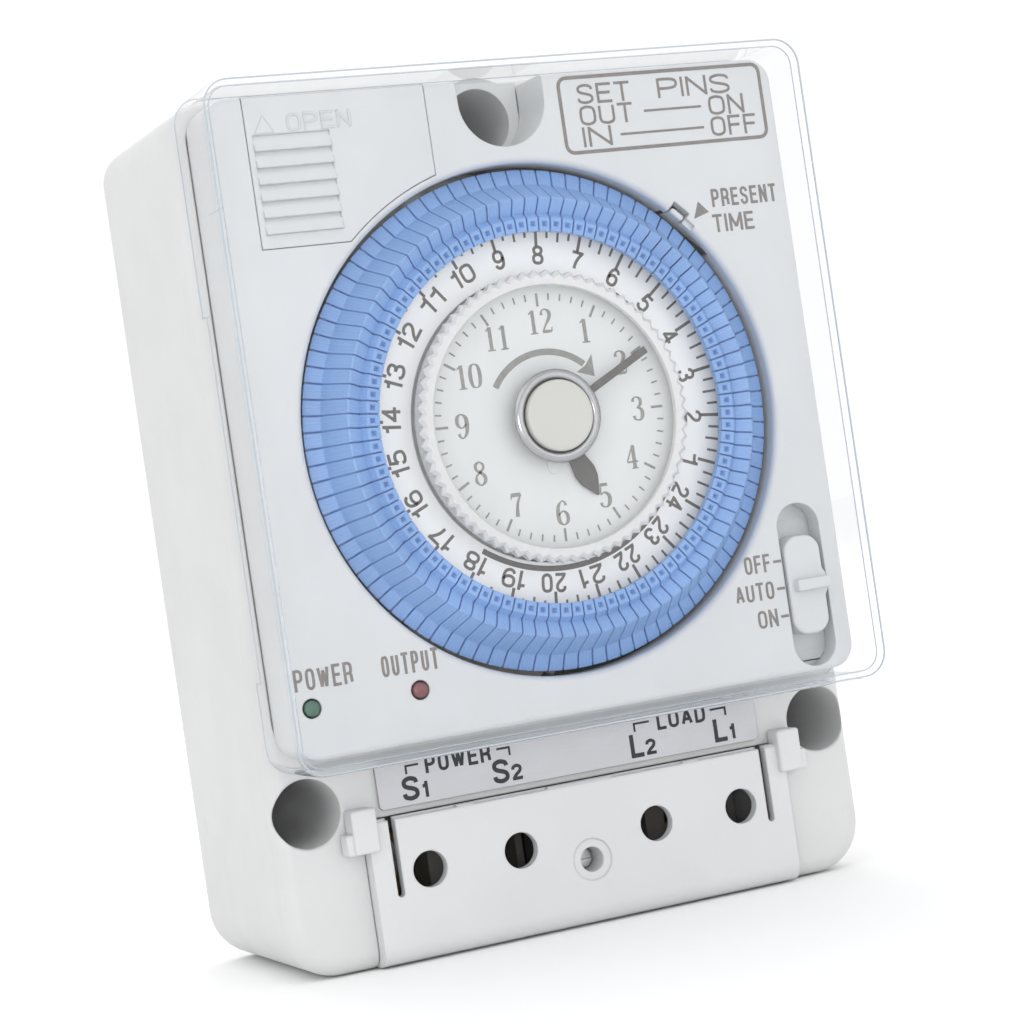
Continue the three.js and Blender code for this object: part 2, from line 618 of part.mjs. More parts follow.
function motorPlace() {
  const [wx, wz] = wheelPlace();
  const span = (GEAR.module * (GEAR.wheelTeeth + GEAR.pinionTeeth)) / 2;
  const a = THREE.MathUtils.degToRad(MOTOR_ANGLE);
  return [wx + span * Math.sin(a), wz + span * Math.cos(a)];
}

// Turns a gear so that its tooth space faces the driving gear's tooth on their line of centres.
function meshPhase(angle, drivingTeeth, drivenTeeth) {
  const driving = (angle / 360) * drivingTeeth;
  const driven = ((angle + 180) / 360) * drivenTeeth;
  return driven + 0.5 + (driving - Math.round(driving));
}

function reductionWheel() {
  const [x, z] = wheelPlace();
  const wheel = slab(gearOutline(x, z, GEAR.wheelTeeth), -41.2, -42.8, 1);
  const phase = meshPhase(WHEEL.angle, GEAR.dialTeeth, GEAR.pinionTeeth);
  const pinion = slab(gearOutline(x, z, GEAR.pinionTeeth, phase), -42, -48.6, 1);
  return cut(join(wheel, pinion), rod(x, z, 1.3, -40, -50, 16));
}

function motor() {
  const [x, z] = motorPlace();
  const can = rod(x, z, 17.5, -20.6, -38.2, 40);
  return join(can, rod(x, z, 4.2, -38, -40.2, 20));
}

function motorPinion() {
  const [x, z] = motorPlace();
  const phase = meshPhase(MOTOR_ANGLE, GEAR.wheelTeeth, GEAR.pinionTeeth);
  return slab(gearOutline(x, z, GEAR.pinionTeeth, phase), -40.6, -43.2, 1);
}

function circuitBoard() {
  let board = box(-47, 47, -16, -17.6, -30.8, 52);
  for (const [x, z] of STUDS) board = cut(board, rod(x, z, 2.9, -15, -19, 12));
  return cut(board, box(39.8, 50, -15, -19, -31, -23), box(-50, -39.8, -15, -19, -31, -23));
}

function indicator(x) {
  return join(rod(x, LEDS.z, LEDS.r, -49.6, PANEL.face + 0.1, 16), rod(x, LEDS.z, 1.6, -49.6, -50.8, 16),
    rod(x, LEDS.z, LEDS.r, PANEL.face + 0.1, PANEL.face - 0.5, 16, LEDS.r * 0.55));
}

function backupBattery() {
  return join(rodX(-46.2, 57.1, 5.6, -40.2, -23.8, 28), rodX(-46.2, 57.1, 2.2, -24, -23, 16));
}

function batteryContact(x0, x1) {
  return box(x0, x1, -41, -50.4, 53.6, 60.6);
}

function supplyCapacitor() {
  return roundBlock(-40, -14, 28, 44, 1.5, -17.9, -33, 3);
}

function caseScrew(x, z) {
  const head = rod(x, z, 2.8, -0.1, -1.3, 16);
  const shank = rod(x, z, 1.4, -1, -30, 8);
  return cut(join(head, shank), box(x - 1.9, x + 1.9, 1, -0.6, z - 0.3, z + 0.3));
}

function labelStrip() {
  return roundBlock(-34.2, 34.2, -45.0, -37.3, 0.6, CASE.front - 0.1, CASE.front - 0.7, 3);
}

// ---- assembly ----
put('rear_case', rearCase(), 'white');
put('front_panel', frontPanel(), 'panel');
put('clear_cover', clearCover(), 'clear');
put('battery_lid', batteryLid(), 'panel');
put('terminal_cover', terminalCover(), 'white');
put('terminal_cover_screw', terminalCoverScrew(), 'steel');
put('terminal_block', terminalBlock(), 'black');
put('terminal_label', labelStrip(), 'label');
TERM.xs.forEach((x, i) => {
  put(`terminal_clamp_${i + 1}`, terminalClamp(x), 'brass');
  put(`terminal_screw_${i + 1}`, terminalScrew(x), 'steel');
  put(`terminal_lead_${i + 1}`, terminalLead(x), 'brass');
});
put('hour_disc', hourDisc(), 'face');
put('trip_pin_ring', pinRing(), 'blue');
for (let i = 0; i < PINS.loose; i += 1) put(`trip_pin_${i + 1}`, loosePin(i), 'blue');
put('clock_face', clockFace(), 'face');
put('hour_hand', hourHand(), 'print');
put('setting_disc', settingDisc(), 'clear');
put('minute_hand', minuteHand(), 'print');
put('hub_ring', hubRing(), 'chrome');
put('hub_cap', hubCap(), 'beige');
put('dial_shaft', dialShaft(), 'steel');
put('mode_slider', modeSlider(), 'panel');
put('mode_switch_body', modeSwitchBody(), 'black');
put('trip_lever', tripLever(), 'panel');
put('lever_pivot', leverPivot(), 'steel');
put('lever_spring', leverSpring(), 'steel');
put('load_switch_body', loadSwitchBody(), 'black');
put('load_switch_plunger', loadSwitchPlunger(), 'tan');
put('movement_plate', movementPlate(), 'steel');
put('reduction_wheel', reductionWheel(), 'gear');
put('motor', motor(), 'steel');
put('motor_pinion', motorPinion(), 'brass');
put('circuit_board', circuitBoard(), 'board');
put('green_indicator', indicator(LEDS.xs[0]), 'green');
put('red_indicator', indicator(LEDS.xs[1]), 'red');
put('backup_battery', backupBattery(), 'blue');
put('battery_contact_plus', batteryContact(-22.6, -22.0), 'brass');
put('battery_contact_minus', batteryContact(-41.9, -41.3), 'brass');
put('supply_capacitor', supplyCapacitor(), 'tan');
caseScrewPlaces().forEach(([x, z], i) => put(`case_screw_${i + 1}`, caseScrew(x, z), 'steel'));

export default group;
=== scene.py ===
import json
import math
import bmesh
import bpy
from mathutils import Matrix, Vector


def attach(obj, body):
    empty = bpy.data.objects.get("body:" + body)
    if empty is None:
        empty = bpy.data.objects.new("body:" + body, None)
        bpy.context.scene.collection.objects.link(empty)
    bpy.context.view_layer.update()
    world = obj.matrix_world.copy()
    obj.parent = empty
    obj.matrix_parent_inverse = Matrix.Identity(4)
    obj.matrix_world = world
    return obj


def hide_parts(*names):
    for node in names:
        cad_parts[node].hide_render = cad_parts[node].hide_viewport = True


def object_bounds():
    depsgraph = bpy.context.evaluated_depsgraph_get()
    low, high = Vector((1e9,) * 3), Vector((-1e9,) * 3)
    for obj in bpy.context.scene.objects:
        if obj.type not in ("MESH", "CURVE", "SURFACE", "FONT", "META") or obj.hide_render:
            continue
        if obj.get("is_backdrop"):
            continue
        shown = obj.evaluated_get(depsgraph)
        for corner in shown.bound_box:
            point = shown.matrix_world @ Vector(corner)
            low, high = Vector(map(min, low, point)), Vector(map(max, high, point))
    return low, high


# Programmable timer. Shapes are drawn in millimetres and scaled to metres when they are finished.
# +X right, +Z up, the front faces -Y, and the origin is the middle of the back face.
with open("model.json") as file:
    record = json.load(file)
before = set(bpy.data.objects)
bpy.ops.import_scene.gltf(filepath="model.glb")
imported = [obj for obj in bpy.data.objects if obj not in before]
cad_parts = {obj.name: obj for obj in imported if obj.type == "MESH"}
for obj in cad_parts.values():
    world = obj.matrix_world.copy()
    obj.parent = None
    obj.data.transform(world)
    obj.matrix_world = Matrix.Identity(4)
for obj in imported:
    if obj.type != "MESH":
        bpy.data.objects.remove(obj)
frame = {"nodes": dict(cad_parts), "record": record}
cad_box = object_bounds()
scene = bpy.context.scene
scene.view_settings.view_transform = "Standard"

MM = 0.001
DIAL_Z = 12.7
CASE_HALF, CASE_LOW, CASE_TOP, CASE_FRONT = 52.0, -69.5, 69.4, -43.6
PANEL_FACE = -53.9
COVER_FACE = -60.7
COVER_BOX = (-51.6, 51.6, -36.8, 69.7)
COVER_R = 4.5
# The sides of the clear cover are cut shorter between these heights.
STEP_LOW, STEP_HIGH = -22.0, 35.3
HINGE_Y, HINGE_Z = -44.5, 69.15
WELLS = ((-45.9, -43.4), (45.9, -43.4))
WELL_R = 5.5
TERMINALS = (-28.0, -12.2, 12.2, 28.0)
TERMINAL_Z = -55.2
LID_FACE = -46.2
LID_SCREW_Z = -58.9
SLIDER_X, SLIDER_Z = 42.1, -20.2
LAMP_XS, LAMP_Z = (-46.1, -28.2), -26.6
LEVER_X, LEVER_Z = 39, 38.4
NUB_ANGLE = 43.2
PINS = 96
PIN_STEP = 360 / PINS
LOOSE = (10, 11, 12, 13)
DISC_FACE = -53.1
# The hour disc and the clock face stand a little clockwise of upright.
DISC_TURN, CLOCK_TURN = 6.0, 1.5
CLOCK_FACE = -55.2
# How thick print is, half of it standing out of its face. Strokes that cross are each one layer thicker.
PROUD = 0.05
LAYER = 0.024


# ---- mesh helpers ----
def as_object(bm, name="part"):
    mesh = bpy.data.meshes.new(name)
    bmesh.ops.recalc_face_normals(bm, faces=bm.faces)
    bm.to_mesh(mesh)
    bm.free()
    ob = bpy.data.objects.new(name, mesh)
    scene.collection.objects.link(ob)
    return ob


def loft(rings, closed=False):
    """A closed skin over rings of points, capped at both ends unless the rings go all the way round."""
    bm = bmesh.new()
    rows = [[bm.verts.new(p) for p in ring] for ring in rings]
    count = len(rings[0])
    pairs = list(zip(rows, rows[1:])) + ([(rows[-1], rows[0])] if closed else [])
    for a, b in pairs:
        for j in range(count):
            k = (j + 1) % count
            bm.faces.new((a[j], a[k], b[k], b[j]))
    if not closed:
        bm.faces.new(rows[0])
        bm.faces.new(list(reversed(rows[-1])))
    return as_object(bm)


def both_sides(near, far):
    """The limits in X of a thing on the left and of its mirror image on the right."""
    return (-far, -near), (near, far)


def quarter(steps):
    return [math.pi / 2 * i / steps for i in range(steps + 1)]


def circle(n):
    return [2 * math.pi * i / n for i in range(n)]


def rounded(x0, x1, z0, z1, r, low=None, inset=0.0, n=8):
    """Points of a rounded rectangle in X and Z, drawn in by inset. low is the radius of the lower corners."""
    low = r if low is None else low
    corners = ((x1 - low, z0 + low, low, -90), (x1 - r, z1 - r, r, 0),
               (x0 + r, z1 - r, r, 90), (x0 + low, z0 + low, low, 180))
    least = 0.05
    points = []
    for cx, cz, radius, start in corners:
        for i in range(n + 1):
            a = math.radians(start + 90 * i / n)
            reach = max(radius - inset, least)
            points.append((cx + reach * math.cos(a), cz + reach * math.sin(a)))
    return points


def flat(points, y):
    return [(x, y, z) for x, z in points]


def slab(points, y0, y1):
    return loft([flat(points, y0), flat(points, y1)])


def along_x(profile, x0, x1):
    """A profile of (y, z) drawn out from x0 to x1."""
    return loft([[(x, y, z) for y, z in profile] for x in (x0, x1)])


def block(x0, x1, y0, y1, z0, z1):
    return slab([(x0, z0), (x1, z0), (x1, z1), (x0, z1)], y0, y1)


def soft_box(x0, x1, z0, z1, r, back, front, soft, low=None, soft_back=0.0, n=8, steps=5):
    """A rounded rectangle pushed from back to front, with rounded edges round its ends."""
    rings, turns = [(back, 0.0)], quarter(steps)
    if soft_back:
        rings = [(back - soft_back * (1 - math.cos(a)), soft_back * (1 - math.sin(a))) for a in turns]
    rings += [(front + soft * (1 - math.sin(a)), soft * (1 - math.cos(a))) for a in turns]
    return loft([flat(rounded(x0, x1, z0, z1, r, low, inset, n), y) for y, inset in rings])


def rod(x, z, r, y0, y1, n=64, end=None):
    """A round bar along Y, which tapers to the radius end where that is given."""
    def ring(radius, y):
        return [(x + radius * math.cos(a), y, z + radius * math.sin(a)) for a in circle(n)]
    return loft([ring(r, y0), ring(end or r, y1)])


def hinge_rod(r, half):
    """A bar along the line that the clear cover swings on."""
    return along_x([(HINGE_Y + r * math.cos(a), HINGE_Z + r * math.sin(a)) for a in circle(20)], -half, half)


def polar(r, degrees):
    """The point (x, z) at radius r from the middle of the dial, degrees clockwise from the top."""
    a = math.radians(degrees)
    return (r * math.sin(a), DIAL_Z + r * math.cos(a))


def turned_points(points, degrees):
    """Points drawn upright about the middle of the dial, turned clockwise."""
    s, c = math.sin(math.radians(degrees)), math.cos(math.radians(degrees))
    return [(x * c + z * s, DIAL_Z - x * s + z * c) for x, z in points]


def sector(inner, outer, start, stop, steps=8):
    """Points of a ring segment, clockwise from start to stop."""
    angles = [start + (stop - start) * i / steps for i in range(steps + 1)]
    return [polar(outer, a) for a in angles] + [polar(inner, a) for a in reversed(angles)]


def turned(profile, n=192, x=0.0, z=DIAL_Z):
    """A closed profile of (radius, y) turned about an axis along Y."""
    rings = [[(x + r * math.sin(a), y, z + r * math.cos(a)) for r, y in profile] for a in circle(n)]
    ob = loft(rings, closed=True)
    if any(r == 0 for r, _ in profile):
        # The points on the axis lie on top of each other, so they are made one.
        bm = bmesh.new()
        bm.from_mesh(ob.data)
        bmesh.ops.remove_doubles(bm, verts=bm.verts, dist=1e-4)
        bmesh.ops.dissolve_degenerate(bm, edges=bm.edges, dist=1e-4)
        bmesh.ops.recalc_face_normals(bm, faces=bm.faces)
        bm.to_mesh(ob.data)
        bm.free()
    return ob


def combine(base, tools, operation):
    """base with every tool taken away from it, or added to it."""
    for tool in tools:
        m = base.modifiers.new("combine", "BOOLEAN")
        m.operation, m.solver, m.object = operation, "MANIFOLD", tool
    mesh = bpy.data.meshes.new_from_object(base.evaluated_get(bpy.context.evaluated_depsgraph_get()))
    base.modifiers.clear()
    base.data = mesh
    for tool in tools:
        bpy.data.objects.remove(tool)
    return base


def cut(base, *tools):
    return combine(base, tools, "DIFFERENCE")


def add(base, *tools):
    return combine(base, tools, "UNION")


def gather(objects):
    """One mesh of several separate ones."""
    bm = bmesh.new()
    for ob in objects:
        bm.from_mesh(ob.data)
        bpy.data.objects.remove(ob)
    return as_object(bm)


def piece(ob, name, material, body, slot, *nodes, smooth=32):
    """Finishes a shape: metres, smooth shading with sharp creases, its finish, and the body it rides on."""
    mesh = ob.data
    mesh.transform(Matrix.Scale(MM, 4))
    mesh.update()
    ob.name = mesh.name = name
    mesh.materials.clear()
    mesh.materials.append(material)
    bm = bmesh.new()
    bm.from_mesh(mesh)
    limit = math.radians(smooth)
    for e in bm.edges:
        e.smooth = len(e.link_faces) == 2 and e.calc_face_angle(0.0) < limit
    for f in bm.faces:
        f.smooth = True
        f.material_index = 0
    bm.to_mesh(mesh)
    bm.free()
    weighted = ob.modifiers.new("weighted", "WEIGHTED_NORMAL")
    weighted.keep_sharp = True
    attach(ob, body)
    if nodes:
        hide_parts(*nodes)


# ---- lettering ----
LOOP = [(.5, 2), (.13, 1.84), (0, 1.45), (0, .55), (.13, .16), (.5, 0), (.87, .16), (1, .55), (1, 1.45),
        (.87, 1.84), (.5, 2)]
BOWL = [(0, 2), (.6, 2), (.93, 1.82), (1, 1.48), (.93, 1.12), (.6, .94), (0, .94)]
SIX = [(.93, 1.58), (.82, 1.87), (.5, 2), (.14, 1.76), (0, 1.2), (0, .6), (.12, .15), (.5, 0),
        (.88, .15), (1, .6), (.9, 1.05), (.52, 1.22), (.13, 1.02), (.02, .7)]
STEM = [(0, 0), (0, 2)]
TOP, MIDDLE, FOOT = [(0, 2), (1, 2)], [(0, 1.03), (.88, 1.03)], [(0, 0), (1, 0)]
# Plain upright letters and figures, in a box 1 wide and 2 high: a width, then the strokes.
GLYPHS = {
    "A": (1.1, [[(0, 0), (.5, 2)], [(.5, 2), (1, 0)], [(.2, .62), (.8, .62)]]),
    "D": (1, [STEM, [(0, 2), (.5, 2), (.88, 1.82), (1, 1.4), (1, .6), (.88, .18), (.5, 0), (0, 0)]]),
    "E": (.9, [STEM, TOP, MIDDLE, FOOT]),
    "F": (.85, [STEM, TOP, MIDDLE]),
    "I": (0, [[(.5, 0), (.5, 2)]]),
    "L": (.85, [STEM, FOOT]),
    "M": (1.35, [STEM, [(0, 2), (.5, .35)], [(.5, .35), (1, 2)], [(1, 2), (1, 0)]]),
    "N": (1, [STEM, [(0, 2), (1, 0)], [(1, 0), (1, 2)]]),
    "O": (1, [LOOP]),
    "P": (1, [STEM, BOWL]),
    "R": (1, [STEM, BOWL, [(.55, .94), (.9, .8), (.97, .45), (1, 0)]]),
    "S": (1, [[(.98, 1.5), (.9, 1.83), (.5, 2), (.1, 1.82), (.03, 1.45), (.2, 1.17), (.8, .87),
          (.98, .55), (.9, .18), (.5, 0), (.08, .17), (0, .52)]]),
    "T": (.95, [TOP, [(.5, 2), (.5, 0)]]),
    "U": (1, [[(0, 2), (0, 1.2), (0, .5), (.13, .14), (.5, 0), (.87, .14), (1, .5), (1, 1.2), (1, 2)]]),
    "W": (1.45, [[(0, 2), (.25, 0)], [(.25, 0), (.5, 1.7)], [(.5, 1.7), (.75, 0)], [(.75, 0), (1, 2)]]),
    "0": (1, [LOOP]),
    "1": (.5, [[(1, 0), (1, 2)], [(1, 1.95), (.8, 1.66), (.45, 1.56), (0, 1.54)]]),
    "2": (1, [[(.02, 1.42), (.1, 1.8), (.5, 2), (.9, 1.8), (.97, 1.4), (.8, 1.02), (.35, .55),
          (.05, .05)], [(.05, 0), (1, 0)]]),
    "3": (1, [[(.05, 1.5), (.15, 1.83), (.5, 2), (.88, 1.82), (.93, 1.45), (.8, 1.15), (.45, 1.06)],
          [(.45, 1.06), (.85, .95), (1, .58), (.92, .18), (.5, 0), (.1, .16), (0, .5)]]),
    "4": (1.05, [[(.74, 2), (.74, 0)], [(.72, 1.98), (0, .58)], [(0, .56), (1, .56)]]),
    "5": (1, [[(.18, 2), (.9, 2)], [(.2, 2), (.08, 1.0)], [(.08, .98), (.3, 1.22), (.6, 1.26),
          (.92, 1.05), (1, .62), (.9, .18), (.5, 0), (.1, .15), (0, .48)]]),
    "6": (1, [SIX]),
    "7": (.95, [TOP, [(.97, 1.96), (.62, 1.3), (.42, .65), (.36, 0)]]),
    "8": (1, [[(.5, 2), (.15, 1.84), (.07, 1.52), (.2, 1.18), (.5, 1.07), (.8, 1.18), (.93, 1.52),
          (.85, 1.84), (.5, 2)], [(.5, 1.07), (.12, .9), (0, .52), (.12, .13), (.5, 0), (.88, .13),
          (1, .52), (.88, .9), (.5, 1.07)]]),
    "9": (1, [[(1 - u, 2 - v) for u, v in SIX]]),
}
# How far level and upright strokes run on, in half widths, to give square corners.
SQUARE_END = 0.9


def sign(value):
    return (value > 0) - (value < 0)


def smooth_path(points, steps=6):
    """A curve through the points, which may carry a half width as well."""
    if len(points) < 3:
        return points
    ends = [points[0]] + list(points) + [points[-1]]
    out = []
    for p0, p1, p2, p3 in zip(ends, ends[1:], ends[2:], ends[3:]):
        for i in range(steps):
            t = i / steps
            out.append(tuple(0.5 * (2 * b + (c - a) * t + (2 * a - 5 * b + 4 * c - d) * t * t
                                    + (3 * b - a - 3 * c + d) * t ** 3)
                             for a, b, c, d in zip(p0, p1, p2, p3)))
    return out + [points[-1]]


def ribbon(path, face, proud):
    """A raised band along a path of (x, z, half width)."""
    rings = []
    for i, (px, pz, w) in enumerate(path):
        a, b = path[max(i - 1, 0)], path[min(i + 1, len(path) - 1)]
        d = Vector((b[0] - a[0], b[1] - a[1])).normalized()
        pair = [(px - d.y * w, pz + d.x * w), (px + d.y * w, pz - d.x * w)]
        rings.append(flat(pair, face + proud / 2) + flat(reversed(pair), face - proud / 2))
    return loft(rings)


def lettering(text, x, z, face, height, width, half=0.2, turn=0.0, gap=0.34, proud=PROUD, align="CENTER"):
    """Raised letters on a face at y=face: a line width wide with strokes 2 * half thick, turned clockwise."""
    units = sum(GLYPHS[c][0] for c in text)
    gaps = gap * height * 0.5
    scale = (width - 2 * half * len(text) - gaps * (len(text) - 1)) / max(units, 0.01)
    left = {"CENTER": -width / 2, "LEFT": 0.0, "RIGHT": -width}[align]
    if not units:
        left, scale = -half if align == "CENTER" else left, 0.0
    a = math.radians(turn)
    parts = []
    for c in text:
        span = GLYPHS[c][0] * scale
        for layer, stroke in enumerate(GLYPHS[c][1]):
            (u0, v0), (u1, v1) = stroke[:2]
            square = len(stroke) == 2 and (u0 == u1 or v0 == v1)
            path = []
            for k, (u, v) in enumerate(smooth_path(stroke, 4)):
                u = left + half + u * span
                v = (v / 2 - 0.5) * (height - 2 * half)
                if square:
                    run_on = SQUARE_END * half * (1 if k else -1)
                    u += run_on * sign(u1 - u0)
                    v += run_on * sign(v1 - v0)
                path.append((x + u * math.cos(a) + v * math.sin(a),
                             z - u * math.sin(a) + v * math.cos(a), half))
            parts.append(ribbon(path, face, proud + LAYER * layer))
        left += span + 2 * half + gaps
    return parts


def mark(points, face, proud=PROUD):
    """A printed patch with this outline."""
    return slab(points, face + proud / 2, face - proud / 2)


def bar(x0, z0, x1, z1, width, face, proud=PROUD):
    """A straight printed line."""
    d = Vector((x1 - x0, z1 - z0)).normalized()
    dx, dz = -d.y * width / 2, d.x * width / 2
    return mark([(x0 + dx, z0 + dz), (x0 - dx, z0 - dz), (x1 - dx, z1 - dz), (x1 + dx, z1 + dz)], face, proud)


def tick(r0, r1, degrees, width, face):
    return bar(*polar(r0, degrees), *polar(r1, degrees), width, face)


def rail(outer, inner, y0, y1):
    """A closed band between two outlines with the same number of points."""
    rings = [flat(outer, y0), flat(outer, y1), flat(inner, y1), flat(inner, y0)]
    return loft([list(column) for column in zip(*rings)], closed=True)


# Strokes of a narrow clock numeral, in a box 1 wide and 2 high: (x, y, half width) along each stroke.
STROKES = {
    "0": [[(.5, 1.97, .03), (.2, 1.75, .09), (.1, 1, .12), (.2, .25, .09), (.5, .03, .03),
          (.8, .25, .09), (.9, 1, .12), (.8, 1.75, .09), (.5, 1.97, .03)]],
    "1": [[(.52, 1.97, .11), (.52, .06, .11)], [(.18, 1.66, .03), (.5, 1.93, .06)], [(.2, .04, .04),
          (.84, .04, .04)]],
    "2": [[(.17, 1.5, .1), (.2, 1.8, .06), (.5, 1.97, .04), (.82, 1.7, .11), (.78, 1.25, .11),
          (.4, .62, .06), (.13, .1, .05)], [(.13, .1, .09), (.5, .12, .09), (.88, .1, .06)],
          [(.88, .1, .05), (.93, .45, .03)]],
    "3": [[(.17, 1.6, .1), (.25, 1.86, .06), (.5, 1.97, .04), (.79, 1.75, .09), (.76, 1.3, .09),
          (.45, 1.08, .03)], [(.45, 1.08, .03), (.8, .9, .09), (.85, .45, .12), (.7, .1, .07),
          (.45, .03, .04), (.2, .15, .06), (.15, .42, .1)]],
    "4": [[(.66, 1.97, .11), (.66, .06, .11)], [(.62, 1.93, .04), (.07, .62, .04)], [(.07, .58, .05),
          (.95, .58, .05)], [(.4, .04, .04), (.92, .04, .04)]],
    "5": [[(.24, 1.93, .05), (.2, 1.08, .04)], [(.22, 1.88, .09), (.82, 1.88, .09)], [(.2, 1.06, .04),
          (.5, 1.24, .05), (.84, .95, .11), (.85, .45, .12), (.68, .1, .07), (.45, .03, .04),
          (.2, .15, .06), (.15, .42, .1)]],
    "6": [[(.82, 1.6, .09), (.74, 1.88, .06), (.5, 1.97, .04), (.22, 1.6, .09), (.12, 1, .12),
          (.16, .35, .11), (.5, .03, .04), (.83, .3, .1), (.84, .85, .1), (.52, 1.16, .04),
          (.17, .85, .05)]],
    "7": [[(.12, 1.86, .11), (.88, 1.86, .1)], [(.12, 1.88, .04), (.1, 1.5, .03)], [(.88, 1.86, .05),
          (.55, 1.1, .07), (.42, .06, .12)]],
    "8": [[(.5, 1.97, .04), (.2, 1.7, .09), (.24, 1.3, .08), (.5, 1.1, .08), (.8, .8, .1),
          (.84, .35, .1), (.5, .03, .04), (.16, .35, .09), (.2, .8, .06), (.5, 1.1, .06),
          (.76, 1.35, .07), (.8, 1.7, .07), (.5, 1.97, .04)]],
    "9": [[(.18, .4, .09), (.26, .12, .06), (.5, .03, .04), (.78, .4, .09), (.88, 1, .12),
          (.84, 1.65, .11), (.5, 1.97, .04), (.17, 1.7, .1), (.16, 1.15, .1), (.48, .84, .04),
          (.83, 1.15, .05)]],
}
NUMERAL_PITCH = 1.12
NUMERAL_WEIGHT = 1.35


def numeral(text, x, z, face, height, width):
    """Upright serif digits built from strokes of changing width, centred on (x, z)."""
    parts = []
    pitch = width * NUMERAL_PITCH
    left = x - (pitch * (len(text) - 1) + width) / 2
    for k, digit in enumerate(text):
        for layer, stroke in enumerate(STROKES[digit]):
            path = []
            for u, v, half in smooth_path(stroke):
                at = (left + k * pitch + u * width, z + (v / 2 - 0.5) * height)
                path.append((*at, half * width * NUMERAL_WEIGHT))
            parts.append(ribbon(path, face, PROUD + LAYER * layer))
    return parts


# ---- materials ----
# A colour that leaves what it is multiplied with as it was.
UNCHANGED = (1, 1, 1)
# Spark-eroded moulds leave this many grains to the metre.
GRAIN = 2600
SCATTER_DEPTH = 0.001
# Light goes nearly straight through clear plastic, and its gloss is worked out apart from that.
CLEAR_IOR = 1.003
GLOSS_IOR = 1.35
CLEAR_RIPPLE = 0.00002


class Nodes:
    """A small wrapper for building one material's nodes."""

    def __init__(self, name):
        self.material = bpy.data.materials.new(name)
        self.material.use_nodes = True
        self.tree = self.material.node_tree
        self.tree.nodes.clear()
        self.coords = self.add("ShaderNodeTexCoord").outputs["Object"]

    def add(self, kind, sockets=(), **values):
        """A new node. Its sockets are linked to other nodes' outputs or get plain values."""
        node = self.tree.nodes.new(kind)
        for key, value in values.items():
            setattr(node, key, value)
        for key, value in dict(sockets).items():
            if isinstance(value, bpy.types.NodeSocket):
                self.tree.links.new(value, node.inputs[key])
            else:
                node.inputs[key].default_value = value
        return node

    def math(self, operation, a, b):
        return self.add("ShaderNodeMath", {0: a, 1: b}, operation=operation).outputs["Value"]

    def multiply(self, a, b, share=1.0):
        """Colour a, multiplied with b for a share of its strength."""
        sockets = {"Factor": share, "A": a, "B": b}
        return self.add("ShaderNodeMix", sockets, data_type="RGBA", blend_type="MULTIPLY").outputs["Result"]

    def mix_shaders(self, share, first, second):
        return self.add("ShaderNodeMixShader", {"Fac": share, 1: first, 2: second}).outputs["Shader"]

    def noise(self, scale, detail=3.0, rough=0.55, stretch=None):
        at = self.coords
        if stretch:
            at = self.add("ShaderNodeMapping", {"Scale": stretch, "Vector": at}).outputs["Vector"]
        sockets = {"Scale": scale, "Detail": detail, "Roughness": rough, "Vector": at}
        return self.add("ShaderNodeTexNoise", sockets).outputs["Fac"]

    def spread(self, source, low, high, a=0.3, b=0.7):
        """source, from a to b, mapped to low to high."""
        sockets = {"From Min": a, "From Max": b, "To Min": low, "To Max": high, "Value": source}
        return self.add("ShaderNodeMapRange", sockets).outputs["Result"]

    def ramp(self, source, stops):
        r = self.add("ShaderNodeValToRGB", {"Fac": source})
        while len(r.color_ramp.elements) < len(stops):
            r.color_ramp.elements.new(0.5)
        for e, (at, colour) in zip(r.color_ramp.elements, stops):
            e.position, e.color = at, (*colour, 1)
        return r.outputs["Color"]

    def mottle(self, source, colour, first, second, a=0.3, b=0.7):
        """colour, shaded by first where source is low and by second where it is high."""
        return self.ramp(source, [(a, shade(colour, first)), (b, shade(colour, second))])

    def uneven(self, rough):
        """A roughness that wanders a little."""
        return self.spread(self.noise(220), rough - 0.05, rough + 0.06)

    def bump(self, source, height, edge):
        """Fine relief over edges that are rounded by a small radius."""
        bevel = self.add("ShaderNodeBevel", {"Radius": edge}, samples=4).outputs["Normal"]
        sockets = {"Strength": 1.0, "Distance": height, "Height": source, "Normal": bevel}
        return self.add("ShaderNodeBump", sockets).outputs["Normal"]

    def shader(self, **sockets):
        return self.add("ShaderNodeBsdfPrincipled", {key.replace("_", " "): sockets[key] for key in sockets})

    def surface(self, shader):
        self.add("ShaderNodeOutputMaterial", {"Surface": shader})
        return self.material

    def finish(self, colour, rough, normal=None, **sockets):
        """A material of one shader, with plain values for its other sockets."""
        if normal:
            sockets["Normal"] = normal
        return self.surface(self.shader(Base_Color=colour, Roughness=rough, **sockets).outputs["BSDF"])


def shade(colour, by):
    return tuple(min(1.0, c * by) for c in colour)


def plastic(name, colour, rough=0.42, relief=0.000012, drift=0.03, edge=0.0003, scatter=0.0, scuffs=0.0):
    """Moulded plastic: fine spark-eroded grain, slow drift of colour, and a few faint scuffs."""
    n = Nodes(name)
    tint = n.mottle(n.noise(38, 2.0), colour, 1 - drift, 1 + drift)
    if scuffs:
        lines = n.noise(55, 6.0, 0.7, stretch=(1.0, 1.6, 0.7))
        worn = tuple(1 - scuffs * k for k in (0.8, 1.0, 1.25))
        scratches = n.ramp(lines, [(0.60, UNCHANGED), (0.68, worn), (0.71, UNCHANGED)])
        patches = n.spread(n.noise(17, 2.0), 0.0, 1.0, 0.45, 0.62)
        tint = n.multiply(tint, scratches, patches)
    return n.finish(tint, n.uneven(rough), n.bump(n.noise(GRAIN, 2.0), relief, edge),
                    Subsurface_Weight=scatter, Subsurface_Scale=SCATTER_DEPTH)


